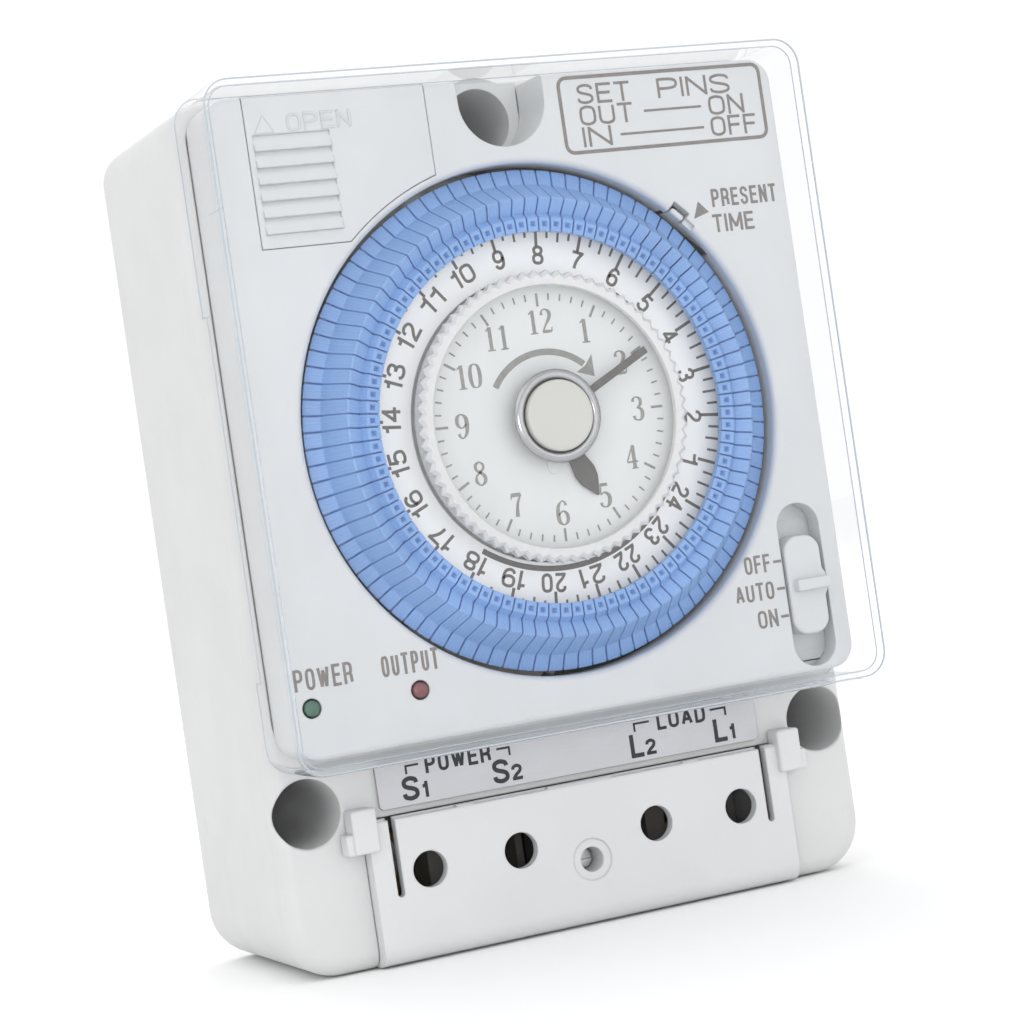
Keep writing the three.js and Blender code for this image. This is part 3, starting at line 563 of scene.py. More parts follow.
def ribbed(name, colour, ribs, depth, rough):
    """Moulded plastic with fine ribs that run out from the middle of the dial, each groove darkened with
    painted shade.
    """
    n = Nodes(name)
    split = n.add("ShaderNodeSeparateXYZ", {"Vector": n.coords}).outputs
    join = n.add("ShaderNodeCombineXYZ", {"X": split["X"], "Y": n.math("SUBTRACT", split["Z"], DIAL_Z * MM)})
    radial = n.add("ShaderNodeTexGradient", {"Vector": join.outputs["Vector"]}, gradient_type="RADIAL")
    wave = n.math("PINGPONG", n.math("MULTIPLY", radial.outputs["Fac"], ribs), 0.5)
    # Painted shade: the bottom of each rib groove is coloured darker, as the shade the fine relief would
    # cast.
    painted_groove_shade = n.ramp(wave, [(0.0, (0.90, 0.90, 0.92)), (0.16, UNCHANGED)])
    tint = n.multiply(n.mottle(n.noise(60), colour, 0.94, 1.06), painted_groove_shade)
    return n.finish(tint, n.uneven(rough), n.bump(wave, depth, 0.00012),
                    Subsurface_Weight=0.08, Subsurface_Scale=SCATTER_DEPTH)


def ink(name, colour, rough=0.6):
    """Screen print: slightly uneven cover with a fine broken edge."""
    n = Nodes(name)
    cover = n.noise(1400, 4.0, 0.7)
    tint = n.mottle(cover, colour, 1.16, 0.92, 0.35, 0.65)
    shine = n.spread(n.noise(300), rough - 0.08, rough + 0.08)
    return n.finish(tint, shine, n.bump(cover, 0.000004, 0.00005), Specular_IOR_Level=0.35)


def metal(name, colour, rough, stretch=(1.0, 40.0, 1.0), tarnish=0.12, grain=600):
    """Plated or brushed metal: drawn grain and slow tarnish."""
    n = Nodes(name)
    tint = n.mottle(n.noise(90), colour, 1 - tarnish, 1 + tarnish * 0.5)
    drawn = n.noise(grain, stretch=stretch)
    shine = n.spread(drawn, rough - 0.08, rough + 0.12)
    return n.finish(tint, shine, n.bump(drawn, 0.000008, 0.00015), Metallic=1.0)


def clear(name, colour, rough, edge):
    """Clear moulded plastic: what it covers shows through, with a rippled gloss, and painted shade that turns
    its faces darker and bluer where they are seen edge-on, in place of refraction.
    """
    n = Nodes(name)
    haze = n.noise(420, 4.0, 0.65, stretch=(1.0, 1.0, 0.35))
    facing = n.add("ShaderNodeLayerWeight", {"Blend": 0.5}).outputs["Facing"]
    # Painted shade: the colour runs from colour to edge as a face turns edge-on to the view, standing in for
    # refraction at the clear edges.
    tint = n.ramp(facing, [(0.93, colour), (0.99, edge)])
    grain = n.ramp(haze, [(0.35, (0.985, 0.985, 0.985)), (0.6, UNCHANGED)])
    body = n.shader(Base_Color=n.multiply(tint, grain), Transmission_Weight=1.0, IOR=CLEAR_IOR,
                    Roughness=n.spread(haze, rough * 0.1, rough * 0.4, 0.35, 0.75))
    ripple = n.add("ShaderNodeBump", {"Strength": 0.5, "Distance": CLEAR_RIPPLE, "Height": n.noise(24, 2.0)})
    shine = n.add("ShaderNodeBsdfGlossy", {"Roughness": n.spread(haze, rough, rough * 3, 0.35, 0.75),
                                           "Normal": ripple.outputs["Normal"]})
    fresnel = n.add("ShaderNodeFresnel", {"IOR": GLOSS_IOR})
    # Only the front of a face shines, so light on its way out isn't lost.
    outside = n.math("SUBTRACT", 1.0, n.add("ShaderNodeNewGeometry").outputs["Backfacing"])
    gloss = n.math("MULTIPLY", fresnel.outputs["Fac"], outside)
    skin = n.mix_shaders(gloss, body.outputs["BSDF"], shine.outputs["BSDF"])
    # Shadow rays and soft light pass straight through.
    path = n.add("ShaderNodeLightPath")
    soft = n.math("MAXIMUM", path.outputs["Is Shadow Ray"], path.outputs["Is Diffuse Ray"])
    through = n.add("ShaderNodeBsdfTransparent", {"Color": (0.972, 0.978, 0.982, 1)})
    return n.surface(n.mix_shaders(soft, skin, through.outputs["BSDF"]))


def laminate(name, colour):
    """Printed circuit board: woven glass under a green mask."""
    n = Nodes(name)
    shades = {"Color1": 1.0, "Color2": 1.5, "Mortar": 0.7}
    threads = {key: (*shade(colour, by), 1) for key, by in shades.items()}
    weave = n.add("ShaderNodeTexBrick", {"Scale": 260, "Vector": n.coords, **threads})
    relief = n.bump(n.noise(900), 0.00001, 0.0003)
    return n.finish(weave.outputs["Color"], n.spread(n.noise(200), 0.3, 0.5), relief, Coat_Weight=0.3)


WHITE = plastic("case_white", (0.62, 0.625, 0.625), 0.46, scuffs=0.10, edge=0.0004, scatter=0.05)
COVER_WHITE = plastic("terminal_cover_white", (0.63, 0.637, 0.645), 0.4, edge=0.0004, scatter=0.05,
                      scuffs=0.05)
PANEL = plastic("panel_white", (0.605, 0.612, 0.62), 0.36, relief=0.000006, edge=0.00035, scatter=0.05)
BLUE = ribbed("pin_blue", (0.215, 0.36, 0.65), ribs=384, depth=0.00005, rough=0.36)
FACE = plastic("disc_white", (0.88, 0.875, 0.87), 0.5, relief=0.000004, edge=0.0002)
CLOCK_WHITE = plastic("clock_white", (0.735, 0.732, 0.722), 0.5, relief=0.000004, edge=0.0002)
PRINT = ink("print_grey", (0.215, 0.195, 0.185))
CLOCK_PRINT = ink("clock_print_grey", (0.29, 0.28, 0.265))
DIAL_PRINT = ink("dial_print_grey", (0.17, 0.158, 0.15))
HAND_PRINT = ink("hand_grey", (0.135, 0.128, 0.122), 0.5)
LABEL_PRINT = ink("label_black", (0.035, 0.035, 0.04))
# The edge colours of the clear finishes are painted shade for faces seen edge-on.
CLEAR = clear("clear_plastic", (0.985, 0.992, 1.0), 0.03, edge=(0.72, 0.775, 0.83))
# Grey-blue bands painted on the clear cover's edges, standing in for the reflection and shade those edges
# show.
PAINTED_EDGE_LINES = plastic("clear_edge_painted_shade", (0.44, 0.49, 0.55), 0.25, relief=0.000004, edge=0.00005)
SETTING_CLEAR = clear("setting_clear", (0.965, 0.967, 0.97), 0.06, edge=(0.74, 0.75, 0.76))
FROST = plastic("setting_frost", (0.64, 0.642, 0.645), 0.24, relief=0.00001, edge=0.00008, scatter=0.2)
LABEL = metal("label_silver", (0.55, 0.55, 0.575), 0.5, stretch=(1, 1, 60), tarnish=0.03)
STEEL = metal("steel", (0.62, 0.63, 0.64), 0.4)
BRASS = metal("brass", (0.66, 0.50, 0.24), 0.3)
CHROME = metal("hub_chrome", (0.44, 0.44, 0.45), 0.13, stretch=(1, 1, 1), grain=200)
BEIGE = plastic("hub_beige", (0.55, 0.542, 0.505), relief=0.000008, drift=0.02)
BLACK = plastic("black_plastic", (0.24, 0.23, 0.22), 0.5, drift=0.1)
GREEN = plastic("lamp_green", (0.07, 0.15, 0.105), 0.25, drift=0.15, relief=0.00001)
RED = plastic("lamp_red", (0.20, 0.07, 0.075), 0.25, drift=0.15, relief=0.00001)
TAN = plastic("tan_plastic", (0.55, 0.42, 0.25), 0.5)
GEAR = plastic("gear_white", (0.78, 0.74, 0.64), 0.5)
WRAP = plastic("battery_wrap", (0.09, 0.26, 0.55), 0.3, drift=0.08)
BOARD = laminate("board_green", (0.04, 0.17, 0.085))


# ---- case ----
def rear_case():
    body = soft_box(-CASE_HALF, CASE_HALF, CASE_LOW, CASE_TOP, 6.0, 0.0, CASE_FRONT, 3.0,
                    low=8.5, soft_back=1.2, n=12, steps=7)
    movement_room = slab(rounded(-49.6, 49.6, -32.7, 67.0, 4.0), -2.4, CASE_FRONT - 1)
    terminal_room = block(-37.6, 37.6, -9, CASE_FRONT - 1, CASE_LOW - 1, -46.0)
    behind_label = block(-35.4, 35.4, -9, CASE_FRONT + 1.8, -44.2, -31.7)
    slots = [block(x - 1.8, x + 1.8, -18.5, -20.7, -47, -44) for x in TERMINALS]
    body = cut(body, movement_room, terminal_room, behind_label, *slots)
    floor = cut(block(-38.2, 38.2, -8.5, -35, CASE_LOW + 0.02, CASE_LOW + 2.2),
                *[slab(rounded(x0, x1, -72, -64, 0.8), -17, -31) for x0, x1 in both_sides(8, 26)])
    rib = block(-0.9, 0.9, -8, -13, CASE_LOW + 1, -45.5)
    post = add(rod(0, 62.4, 7.4, -1.4, CASE_FRONT), block(-7.4, 7.4, -1.4, CASE_FRONT, 62.4, 68.4))
    body = add(body, floor, rib, post)
    holes = []
    for x, z in (*WELLS, (0, 62.4)):
        holes += [rod(x, z, WELL_R, -5, CASE_FRONT - 1, 96), rod(x, z, 2.2, 1, -6, 48)]
    for x0, x1 in both_sides(41, 48.4):
        holes.append(slab(rounded(x0, x1, -65.4, -51.4, 1.0, n=4), 1, CASE_FRONT + 2.4))
    for x, z in ((-45, 60), (45, 60), (-45, -28.6), (45, -28.6)):
        body = add(body, rod(x, z, 3.6, -1.4, -38, 40))
        holes += [rod(x, z, 1.75, 1, -39, 32), rod(x, z, 3.1, 1, -1.6, 40)]
    body = cut(body, *holes)
    # A small chamfer eases the mouth of each lower screw well.
    lips = [rod(x, z, WELL_R + 0.5, CASE_FRONT - 0.2, CASE_FRONT + 0.3, 96, WELL_R) for x, z in WELLS]
    body = cut(body, *lips)
    body = cut(body, hinge_rod(1.05, 53))
    piece(body, "rear_case_shell", WHITE, "housing", "case_white", "rear_case")


def lid_outline(grow=0.0):
    """The battery lid: a rectangle whose lower right corner follows the dial."""
    x0, x1, z0, z1 = -43.2 - grow, -13.1 + grow, 43.9 - grow, 67.35 + grow
    r = 42.4 - grow
    start = math.asin(math.sqrt(1 - ((z0 - DIAL_Z) / r) ** 2))
    end = math.asin(-x1 / r)
    steps = 24
    angles = [start + (end - start) * i / steps for i in range(steps + 1)]
    curve = [(-r * math.sin(a), DIAL_Z + r * math.cos(a)) for a in angles]
    return [(x0, z1), (x0, z0), *curve, (x1, z1)]


def front_panel():
    rear, under, over = CASE_FRONT - 0.03, PANEL_FACE + 1, PANEL_FACE - 1
    body = soft_box(-49.4, 49.4, -34.7, 67.7, 4.0, rear, PANEL_FACE, 0.9, n=10, steps=4)
    body = cut(body, slab(rounded(-47.8, 47.8, -33.1, 66.1, 3.0), rear + 1, PANEL_FACE + 2))
    flare = [(0, rear + 1), (41.1, rear + 1), (41.1, under)]
    flare += [(41.1 + (1 - math.cos(a)), under - math.sin(a)) for a in quarter(6)[1:]]
    flare += [(42.1, over), (0, over)]
    wall = add(rod(0, 64, 8.9, rear, under), block(-8.9, 8.9, rear, under, 64, 67.7))
    wall = cut(wall, block(-12, 12, rear + 1, over, 67.69, 74))
    tray = block(-43.6, -19.8, -38.2, under, 49.6, 64.6)
    collar = slab(rounded(37.2, 47.0, -34.6, -5.7, 4.8, n=12), PANEL_FACE + 3.5, under)
    # A short wall behind the rim of the dial opening, left open where the trip lever passes.
    skirt = turned([(40.8, -48.7), (42.0, -48.7), (42.0, under), (40.8, under)], 256)
    skirt = cut(skirt, slab(sector(39, 44, 39.9, 55.4), -48, PANEL_FACE + 2))
    lips = [block(x0, x1, -42.4, -45.5, -28, 62) for x0, x1 in both_sides(47.0, 49.2)]
    body = add(body, wall, tray, skirt, collar, *lips)
    body = cut(body, turned(flare, 256))
    recess = add(rod(0, 64, 7.5, rear + 1, over, 72), block(-7.5, 7.5, rear + 1, over, 64, 69))
    pocket = slab(lid_outline(0.11), PANEL_FACE + 1.6, over)
    runout = block(-43.36, -12.94, PANEL_FACE + 1.6, over, 66.3, 69)
    hollow = slab(rounded(-42.4, -21, 50.8, 63.4, 1.0), -39.4, over)
    slot = slab(rounded(38.15, 46.05, -33.8, -6.6, 3.9, n=12), PANEL_FACE + 4, over)
    lamp_holes = [rod(x, LAMP_Z, 1.55, PANEL_FACE + 4, over, 48) for x in LAMP_XS]
    notch = [slab(sector(40, 43.0, 40.85, 45.35), PANEL_FACE + 4, over),
             slab(sector(40, 42.0, 45.3, 48.0), PANEL_FACE + 0.7, PANEL_FACE - 1.1)]
    body = cut(body, recess, pocket, runout, hollow, slot, *lamp_holes, *notch)
    piece(body, "front_panel_shell", PANEL, "housing", "panel_white", "front_panel")


def battery_lid():
    face = PANEL_FACE - 0.05
    pitch, top, teeth = 2.58, 61.5, 6
    lid = slab(lid_outline(), PANEL_FACE + 1.3, face)
    # The grip stands in a shallow tray, cut in two steps that overlap a little.
    lid = cut(lid, block(-42.2, -29.7, face + 0.42, face - 1, top - pitch + 0.02, top))
    lid = cut(lid, block(-42.2, -29.7, face + 0.42, face - 1, top - teeth * pitch, top - pitch + 0.05))
    for i in range(teeth):
        z1 = top - i * pitch
        z0 = z1 - pitch + 0.02
        tooth = [(face + 0.5, z1), (face + 0.43, z1), (face - 0.55, z0), (face + 0.5, z0)]
        lid = add(lid, along_x(tooth, -42.25, -29.65))
    marks = lettering("OPEN", -36.5, 63.1, face, 2.8, 10.6, proud=0.2, align="LEFT")
    marks.append(mark([(-41.9, 61.7), (-38.6, 61.7), (-40.25, 64.5)], face, 0.2))
    piece(lid, "battery_lid_plate", PANEL, "lid", "panel_white", "battery_lid")
    piece(gather(marks), "battery_lid_marks", PANEL, "lid", "panel_white")


def clear_cover():
    rim = -44.3
    shell = soft_box(*COVER_BOX, COVER_R, rim, COVER_FACE, 1.3, n=12, steps=6)
    inner = soft_box(-50.6, 50.6, -35.8, 68.7, 3.5, -43.0, COVER_FACE + 1.2, 0.6, n=12, steps=4)
    shell = cut(shell, inner)
    for x0, x1 in both_sides(49, 54):
        shell = cut(shell, block(x0, x1, -43.2, -46.6, STEP_LOW, STEP_HIGH))
    rib = block(-50.65, -49.9, -52.0, -59.6, 50.2, 58.8)
    shell = add(shell, hinge_rod(0.5, 40), rib)
    piece(shell, "clear_cover_shell", CLEAR, "cover", "clear_plastic", "clear_cover")

    def line(inset, y, half):
        """A fine band that follows the outline of the cover, for a painted edge line."""
        outer, inner = (rounded(*COVER_BOX, COVER_R, inset=inset + d, n=12) for d in (-half, half))
        return rail(outer, inner, y + half, y - half)
    # Painted edge lines where the moulding turns, grey-blue shade and reflection standing in for what the
    # clear edges show: both front edges, then the rear rim with its stepped sides.
    lines = [line(0.38, -60.32, 0.11), line(1.3, -59.4, 0.07)]
    rear = line(0.3, rim, 0.08)
    for x0, x1 in both_sides(49, 54):
        rear = cut(rear, block(x0, x1, -43, -46, STEP_LOW, STEP_HIGH))
    for x0, x1 in both_sides(51.22, 51.38):
        lines.append(block(x0, x1, -46.68, -46.52, STEP_LOW, STEP_HIGH))
        lines += [block(x0, x1, rim, -46.5, z - 0.08, z + 0.08) for z in (STEP_LOW, STEP_HIGH)]
    piece(gather(lines + [rear]), "clear_cover_painted_edge_lines", PAINTED_EDGE_LINES, "cover", "clear_plastic")


# ---- terminals ----
def terminal_cover():
    half, top, low, rear, bend = 37.48, -46.1, -69.42, -36.0, 3.2
    profile = [(rear, top), (LID_FACE + 0.5, top), (LID_FACE, top - 0.5)]
    profile += [(LID_FACE + bend * (1 - math.cos(a)), low + bend * (1 - math.sin(a))) for a in quarter(7)]
    body = along_x(profile + [(rear, low)], -half, half)
    body = cut(body, block(-half + 1.4, half - 1.4, rear + 1, LID_FACE + 1.8, low + 1.6, top + 1))
    body = add(body, rod(0, LID_SCREW_Z, 4.6, -33, LID_FACE + 1, 48))
    tools = [rod(x, TERMINAL_Z, 2.9, LID_FACE + 4, LID_FACE - 1, 64) for x in TERMINALS]
    tools += [rod(0, LID_SCREW_Z, 3.35, LID_FACE + 0.28, LID_FACE - 1, 96, 3.65),
              rod(0, LID_SCREW_Z, 1.9, -41, LID_FACE - 1, 64, 2.05), rod(0, LID_SCREW_Z, 1.35, -30, -42, 48)]
    tools += [block(x0, x1, LID_FACE + 1.2, LID_FACE - 1, top - 0.3, top + 1)
              for x0, x1 in ((-34.5, -22), (-19, -6), (5.7, 18.6), (21.4, 33.4))]
    tools += [slab(rounded(x0, x1, -58.7, top + 2, 0.58, n=6), LID_FACE + 4, LID_FACE - 1)
              for x0, x1 in both_sides(32.75, 33.95)]
    body = cut(body, *tools)
    ears = []
    for (x0, x1), (x2, x3) in zip(both_sides(36.0, 40.2), both_sides(38.6, 41.3)):
        ears.append(soft_box(x0, x1, -50.9, -43.9, 0.5, -43.9, -47.4, 0.4, n=4, steps=3))
        ears.append(soft_box(x2, x3, -50.95, -47.6, 0.4, -43.95, -46.9, 0.3, n=4, steps=3))
    body = add(body, *ears)
    piece(body, "terminal_cover_flap", COVER_WHITE, "terminal_lid", "case_white", "terminal_cover")


def screw_head(x, z, radius, rear, top, slot_width, slot_depth, shank, shank_end, cross=False):
    """A screw with a round head and one slot right across it, or a cross that stops short of its edge."""
    profile = [(0, rear), (radius, rear), (radius, top + 0.25), (radius - 0.2, top + 0.05),
               (radius - 0.6, top), (0, top)]
    head = turned(profile, 64, x, z)
    reach, half = radius * (0.75 if cross else 1), slot_width / 2
    slots = [block(x - reach, x + reach, top + slot_depth, top - 1, z - half, z + half)]
    if cross:
        slots.append(block(x - half, x + half, top + slot_depth, top - 1, z - reach, z + reach))
    head = cut(head, *slots)
    return add(head, rod(x, z, shank, rear - 0.05, shank_end, 32))


def terminals():
    for i, x in enumerate(TERMINALS, 1):
        screw = screw_head(x, TERMINAL_Z, 3.6, -20.8, -23.6, 0.8, 1.2, 1.75, -15.2, cross=True)
        piece(screw, f"terminal_screw_head_{i}", STEEL, f"wire_screw_{i}", "steel", f"terminal_screw_{i}")
    screw = screw_head(0, LID_SCREW_Z, 1.65, -41.1, -42.4, 0.5, 0.6, 1.05, -31.4)
    piece(screw, "terminal_cover_screw_head", STEEL, "terminal_lid_screw", "steel", "terminal_cover_screw")


def terminal_label():
    face, proud = CASE_FRONT - 0.7, 0.06
    plate = soft_box(-34.2, 34.2, -45.0, -37.3, 0.8, CASE_FRONT - 0.1, face, 0.12, n=6, steps=2)
    piece(plate, "terminal_label_plate", LABEL, "housing", "label_silver", "terminal_label")
    marks = []
    for letter, number, x in (("S", "1", -27.2), ("S", "2", -11.5), ("L", "2", 12.8), ("L", "1", 28.4)):
        width, small_width = 2.9 if letter == "S" else 2.4, 1.15 if number == "1" else 1.9
        marks += lettering(letter, x, -42.3, face, 3.9, width, 0.36, align="RIGHT", proud=proud)
        marks += lettering(number, x + 0.35, -42.85, face, 2.6, small_width, 0.27, align="LEFT", proud=proud)
    marks += lettering("POWER", -20.0, -39.0, face, 2.9, 11.4, 0.26, proud=proud)
    marks += lettering("LOAD", 20.3, -39.0, face, 2.9, 9.0, 0.26, proud=proud)
    for x0, x1, corner in ((-29.0, -26.8, -29.0), (-13.2, -11.0, -11.0),
                           (11.6, 14.4, 11.6), (25.8, 28.6, 28.6)):
        marks.append(bar(x0, -38.7, x1, -38.7, 0.35, face, proud))
        marks.append(bar(corner, -38.55, corner, -40.0, 0.35, face, 0.08))
    piece(gather(marks), "terminal_label_print", LABEL_PRINT, "housing", "print_grey")


# ---- dial ----
def pin_section(inset, degrees):
    """The outline of a pin at an angle round the dial, from its land to its rim, drawn in by inset."""
    outline = [(33.5, -51.2), (33.5, -55.5), (29.6 + 0.2 * inset, -55.7), (29.6 + 0.2 * inset, -56.9 + inset),
               (31.75, -57.0 + inset), (32.0, -56.75 + inset), (32.55, -56.15 + inset),
               (34.2, -57.25 + inset), (34.75, -57.5 + inset), (35.05, -57.35 + inset),
               (37.6, -52.7 + inset), (37.9, -52.45 + inset), (39.4 - inset, -51.85 + inset),
               (40.3 - inset, -51.45), (40.3 - inset, -51.2)]
    ring = []
    for r, y in outline:
        x, z = polar(r, degrees)
        ring.append((x, y, z))
    return ring


def pin_run(first, count):
    """A moulded run of pins with a parting groove between each and the next."""
    stations = ((0.0, 0.55), (0.035, 0.5), (0.05, 0.08), (0.10, 0.0), (0.36, 0.0), (0.64, 0.0), (0.90, 0.0),
                (0.95, 0.08), (0.965, 0.5))
    rings = []
    for i in range(first, first + count):
        rings += [pin_section(inset, i * PIN_STEP + t * PIN_STEP) for t, inset in stations]
    return cut(loft(rings[1:]), dimples(range(first, first + count)))


def pins():
    ring = pin_run(LOOSE[-1] + 1, PINS - len(LOOSE))
    piece(ring, "trip_pin_ring_moulding", BLUE, "dial", "pin_blue", "trip_pin_ring", smooth=24)
    for k, i in enumerate(LOOSE, 1):
        tab = pin_run(i, 1)
        piece(tab, f"trip_pin_tab_{k}", BLUE, f"set_pin_{k}", "pin_blue", f"trip_pin_{k}", smooth=24)


def dimples(indices):
    """A small square pit in the inner land of each pin."""
    cutters = []
    for i in indices:
        rings = []
        for y, half in ((-56.35, 0.12), (-57.3, 0.62)):
            near, far = 30.75 - half, 30.75 + half
            corners = [(-half, near), (half, near), (half, far), (-half, far)]
            rings.append(flat(turned_points(corners, (i + 0.5) * PIN_STEP), y))
        cutters.append(loft(rings))
    return gather(cutters)


def hour_disc():
    disc = turned([(4.5, -49.6), (39.8, -49.6), (39.8, -50.6), (33.3, -50.9), (33.3, DISC_FACE),
                   (23.0, DISC_FACE), (23.0, -51.2), (4.5, -51.2)])
    hub = turned([(2.6, -45.2), (6, -45.2), (6, -51), (2.6, -51)], 48)
    web = turned([(25.4, -47.2), (27.2, -47.2), (27.2, -50), (25.4, -50)], 96)
    module, teeth = 0.9, 64
    pitch = module * teeth / 2
    root, tip = pitch - 1.05, pitch + 0.55
    tooth = ((root, -0.3), (tip, -0.11), (tip, 0.11), (root, 0.3))
    outline = [polar(r, (i + t) * 360 / teeth) for i in range(teeth) for r, t in tooth]
    rim = cut(slab(outline, -46.2, -48.4), rod(0, DIAL_Z, 25, -45, -49, 96))
    piece(add(disc, hub, web, rim), "hour_disc_plate", FACE, "dial", "disc_white", "hour_disc")
    marks = []
    for q in range(PINS):
        # Whole hours have the longest marks, then half hours, then quarters.
        start, width = ((27.7, 0.5), (29.1, 0.38), (28.6, 0.38), (29.1, 0.38))[q % 4]
        marks.append(tick(start, 32.6, DISC_TURN - 0.4 + q * PIN_STEP, width, DISC_FACE))
    for hour in range(1, 25):
        a = DISC_TURN + (8 - hour) * 15
        width = 2.0 if hour < 10 else 4.3
        marks += lettering(str(hour), *polar(26.3, a), DISC_FACE, 3.15, width, 0.25, turn=a)
    marks.append(mark(sector(23.55, 24.45, 36.5, 216.0, 96), DISC_FACE))
    piece(gather(marks), "hour_disc_print", DIAL_PRINT, "dial", "print_grey")


def clock_face():
    plate = turned([(3.1, -53.5), (22.6, -53.5), (22.6, -54.9), (22.3, CLOCK_FACE), (3.1, CLOCK_FACE)], 160)
    piece(plate, "clock_face_plate", CLOCK_WHITE, "housing", "disc_white", "clock_face")
    marks = []
    for minute in range(60):
        start, width = (18.75, 0.28) if minute % 5 else (17.75, 0.42)
        marks.append(tick(start, 19.85, CLOCK_TURN + minute * 6, width, CLOCK_FACE))
    for hour in range(1, 13):
        width = 2.15 if hour < 10 else 2.05
        marks += numeral(str(hour), *polar(15.35, CLOCK_TURN + hour * 30), CLOCK_FACE, 3.85, width)
    marks.append(mark(sector(9.95, 11.0, -57, 42, 40), CLOCK_FACE))
    marks.append(mark([polar(10.3, 57), polar(8.7, 40), polar(10.5, 44), polar(12.6, 43)], CLOCK_FACE))
    dot = rod(-0.6, 5.0, 1.35, CLOCK_FACE + 0.02, CLOCK_FACE - 0.12, 40)
    piece(gather(marks), "clock_face_print", CLOCK_PRINT, "housing", "print_grey")
    piece(dot, "clock_face_locating_spot", CLOCK_WHITE, "housing", "disc_white")


def hands():
    tube = turned([(1.9, -52.2), (2.8, -52.2), (2.8, -55.9), (1.9, -55.9)], 48)
    blade = [(-1.4, 2.2), (1.4, 2.2), (1.45, 8.0), (1.85, 10.2), (1.6, 11.8), (0.12, 14.6), (-0.12, 14.6),
             (-1.6, 11.8), (-1.85, 10.2), (-1.45, 8.0)]
    hand = cut(slab(turned_points(blade, 155.5), -55.5, -55.9), rod(0, DIAL_Z, 2.2, -55, -56.5, 48))
    piece(add(tube, hand), "hour_hand_blade", HAND_PRINT, "hour_pointer", "print_grey", "hour_hand")
    strip = slab(turned_points([(-0.62, 5.6), (0.62, 5.6), (0.58, 19.4), (-0.58, 19.4)], 63.0), -57.1, -57.45)
    boss = turned([(1.5, -56.5), (2.8, -56.5), (2.8, -57.1), (6.4, -57.1), (6.4, -57.45), (1.5, -57.45)], 64)
    piece(add(strip, boss), "minute_hand_blade", HAND_PRINT, "setting", "print_grey", "minute_hand")


def setting_disc():
    knurls = 72

    def ring(outer, inner, y):
        return flat([polar(inner if i % 2 else outer, i * 180 / knurls) for i in range(2 * knurls)], y)
    dish = turned([(3.1, -56.2), (21.5, -56.2), (21.5, -56.8), (3.1, -56.8)])
    piece(dish, "setting_disc_dish", SETTING_CLEAR, "setting", "clear_plastic", "setting_disc", smooth=40)
    grip = loft([ring(23.3, 22.9, -55.95), ring(23.4, 22.6, -56.2), ring(23.4, 22.6, -57.0),
                 ring(22.6, 22.0, -57.58), ring(21.6, 21.6, -57.6)])
    grip = cut(grip, rod(0, DIAL_Z, 21.55, -55, -56.84, 144), rod(0, DIAL_Z, 20.9, -56.8, -58, 144, 21.1))
    piece(grip, "setting_disc_grip", FROST, "setting", "clear_plastic", smooth=20)


def hub():
    ring = turned([(5.9, -57.75), (7.4, -57.75), (7.45, -57.95), (7.25, -58.2), (6.8, -58.38), (6.4, -58.42),
                   (6.1, -58.35), (5.95, -58.2), (5.9, -58.0)], 128)
    piece(ring, "hub_ring_bezel", CHROME, "setting", "hub_chrome", "hub_ring")
    cap = turned([(0, -57.75), (5.65, -57.75), (5.7, -58.7), (5.6, -59.0), (5.35, -59.15), (4.9, -59.2),
                  (0, -59.2)], 128)
    piece(cap, "hub_cap_button", BEIGE, "setting", "hub_beige", "hub_cap")


# ---- panel fittings ----
def mode_slider():
    x, z, front = SLIDER_X, SLIDER_Z, PANEL_FACE - 0.6
    grip = soft_box(x - 3.5, x + 3.2, z - 8.2, z + 8.2, 2.7, PANEL_FACE + 3.2, front, 0.5, steps=4)
    flare = slab([(x, z - 3.4), (x + 3.0, z - 2.2), (x + 3.55, z - 1.2), (x + 3.55, z + 1.4),
                  (x + 3.0, z + 2.4), (x, z + 3.4)], PANEL_FACE + 1, front)
    pointer = soft_box(x - 2.6, x + 3.6, z - 0.9, z + 1.0, 0.3, front + 0.5, front - 1.5, 0.25, n=3, steps=3)
    stem = block(x - 1.2, x + 1.2, PANEL_FACE + 6, PANEL_FACE + 3, z - 2.4, z + 2.4)
    piece(add(grip, flare, pointer, stem), "mode_slider_knob", PANEL, "slider", "panel_white", "mode_slider")


def switch_body():
    """The slide switch's own housing, with a pale flange that closes the slot round the knob."""
    x, z, front = SLIDER_X, SLIDER_Z, PANEL_FACE + 3.6
    flange = slab(rounded(37.9, 46.4, -32.9, -6.0, 1.0), front + 0.9, front + 0.05)
    body = add(block(x - 4.2, x + 3.4, -41.4, front, z - 11, z + 11), flange)
    body = cut(body, block(x - 1.6, x + 1.6, -45, PANEL_FACE, z - 7.1, z + 7.1))
    piece(body, "mode_switch_housing", PANEL, "housing", "panel_white", "mode_switch_body")


def trip_lever():
    rear, front = -49.4, -51.4
    arm = slab([polar(41.3, 41.1), polar(41.3, 45.9), (36.4, 35.4), (41.8, 36.6), (41.2, 52.4), (38.7, 52.4),
                (38.2, 42.4), (30.4, 44.4)], rear, front)
    nub = soft_box(-1.3, 1.3, -0.5, 0.5, 0.35, rear - 0.6, -53.45, 0.3, n=4, steps=3)
    nub.data.transform(Matrix.Rotation(math.radians(NUB_ANGLE), 4, "Y"))
    x, z = polar(41.7, NUB_ANGLE)
    nub.data.transform(Matrix.Translation((x, 0, z)))
    body = add(arm, nub, rod(LEVER_X, LEVER_Z, 3, rear + 1.2, front, 40))
    body = cut(body, rod(LEVER_X, LEVER_Z, 1.5, -47, -52, 32))
    piece(body, "trip_lever_arm", PANEL, "lever", "panel_white", "trip_lever")


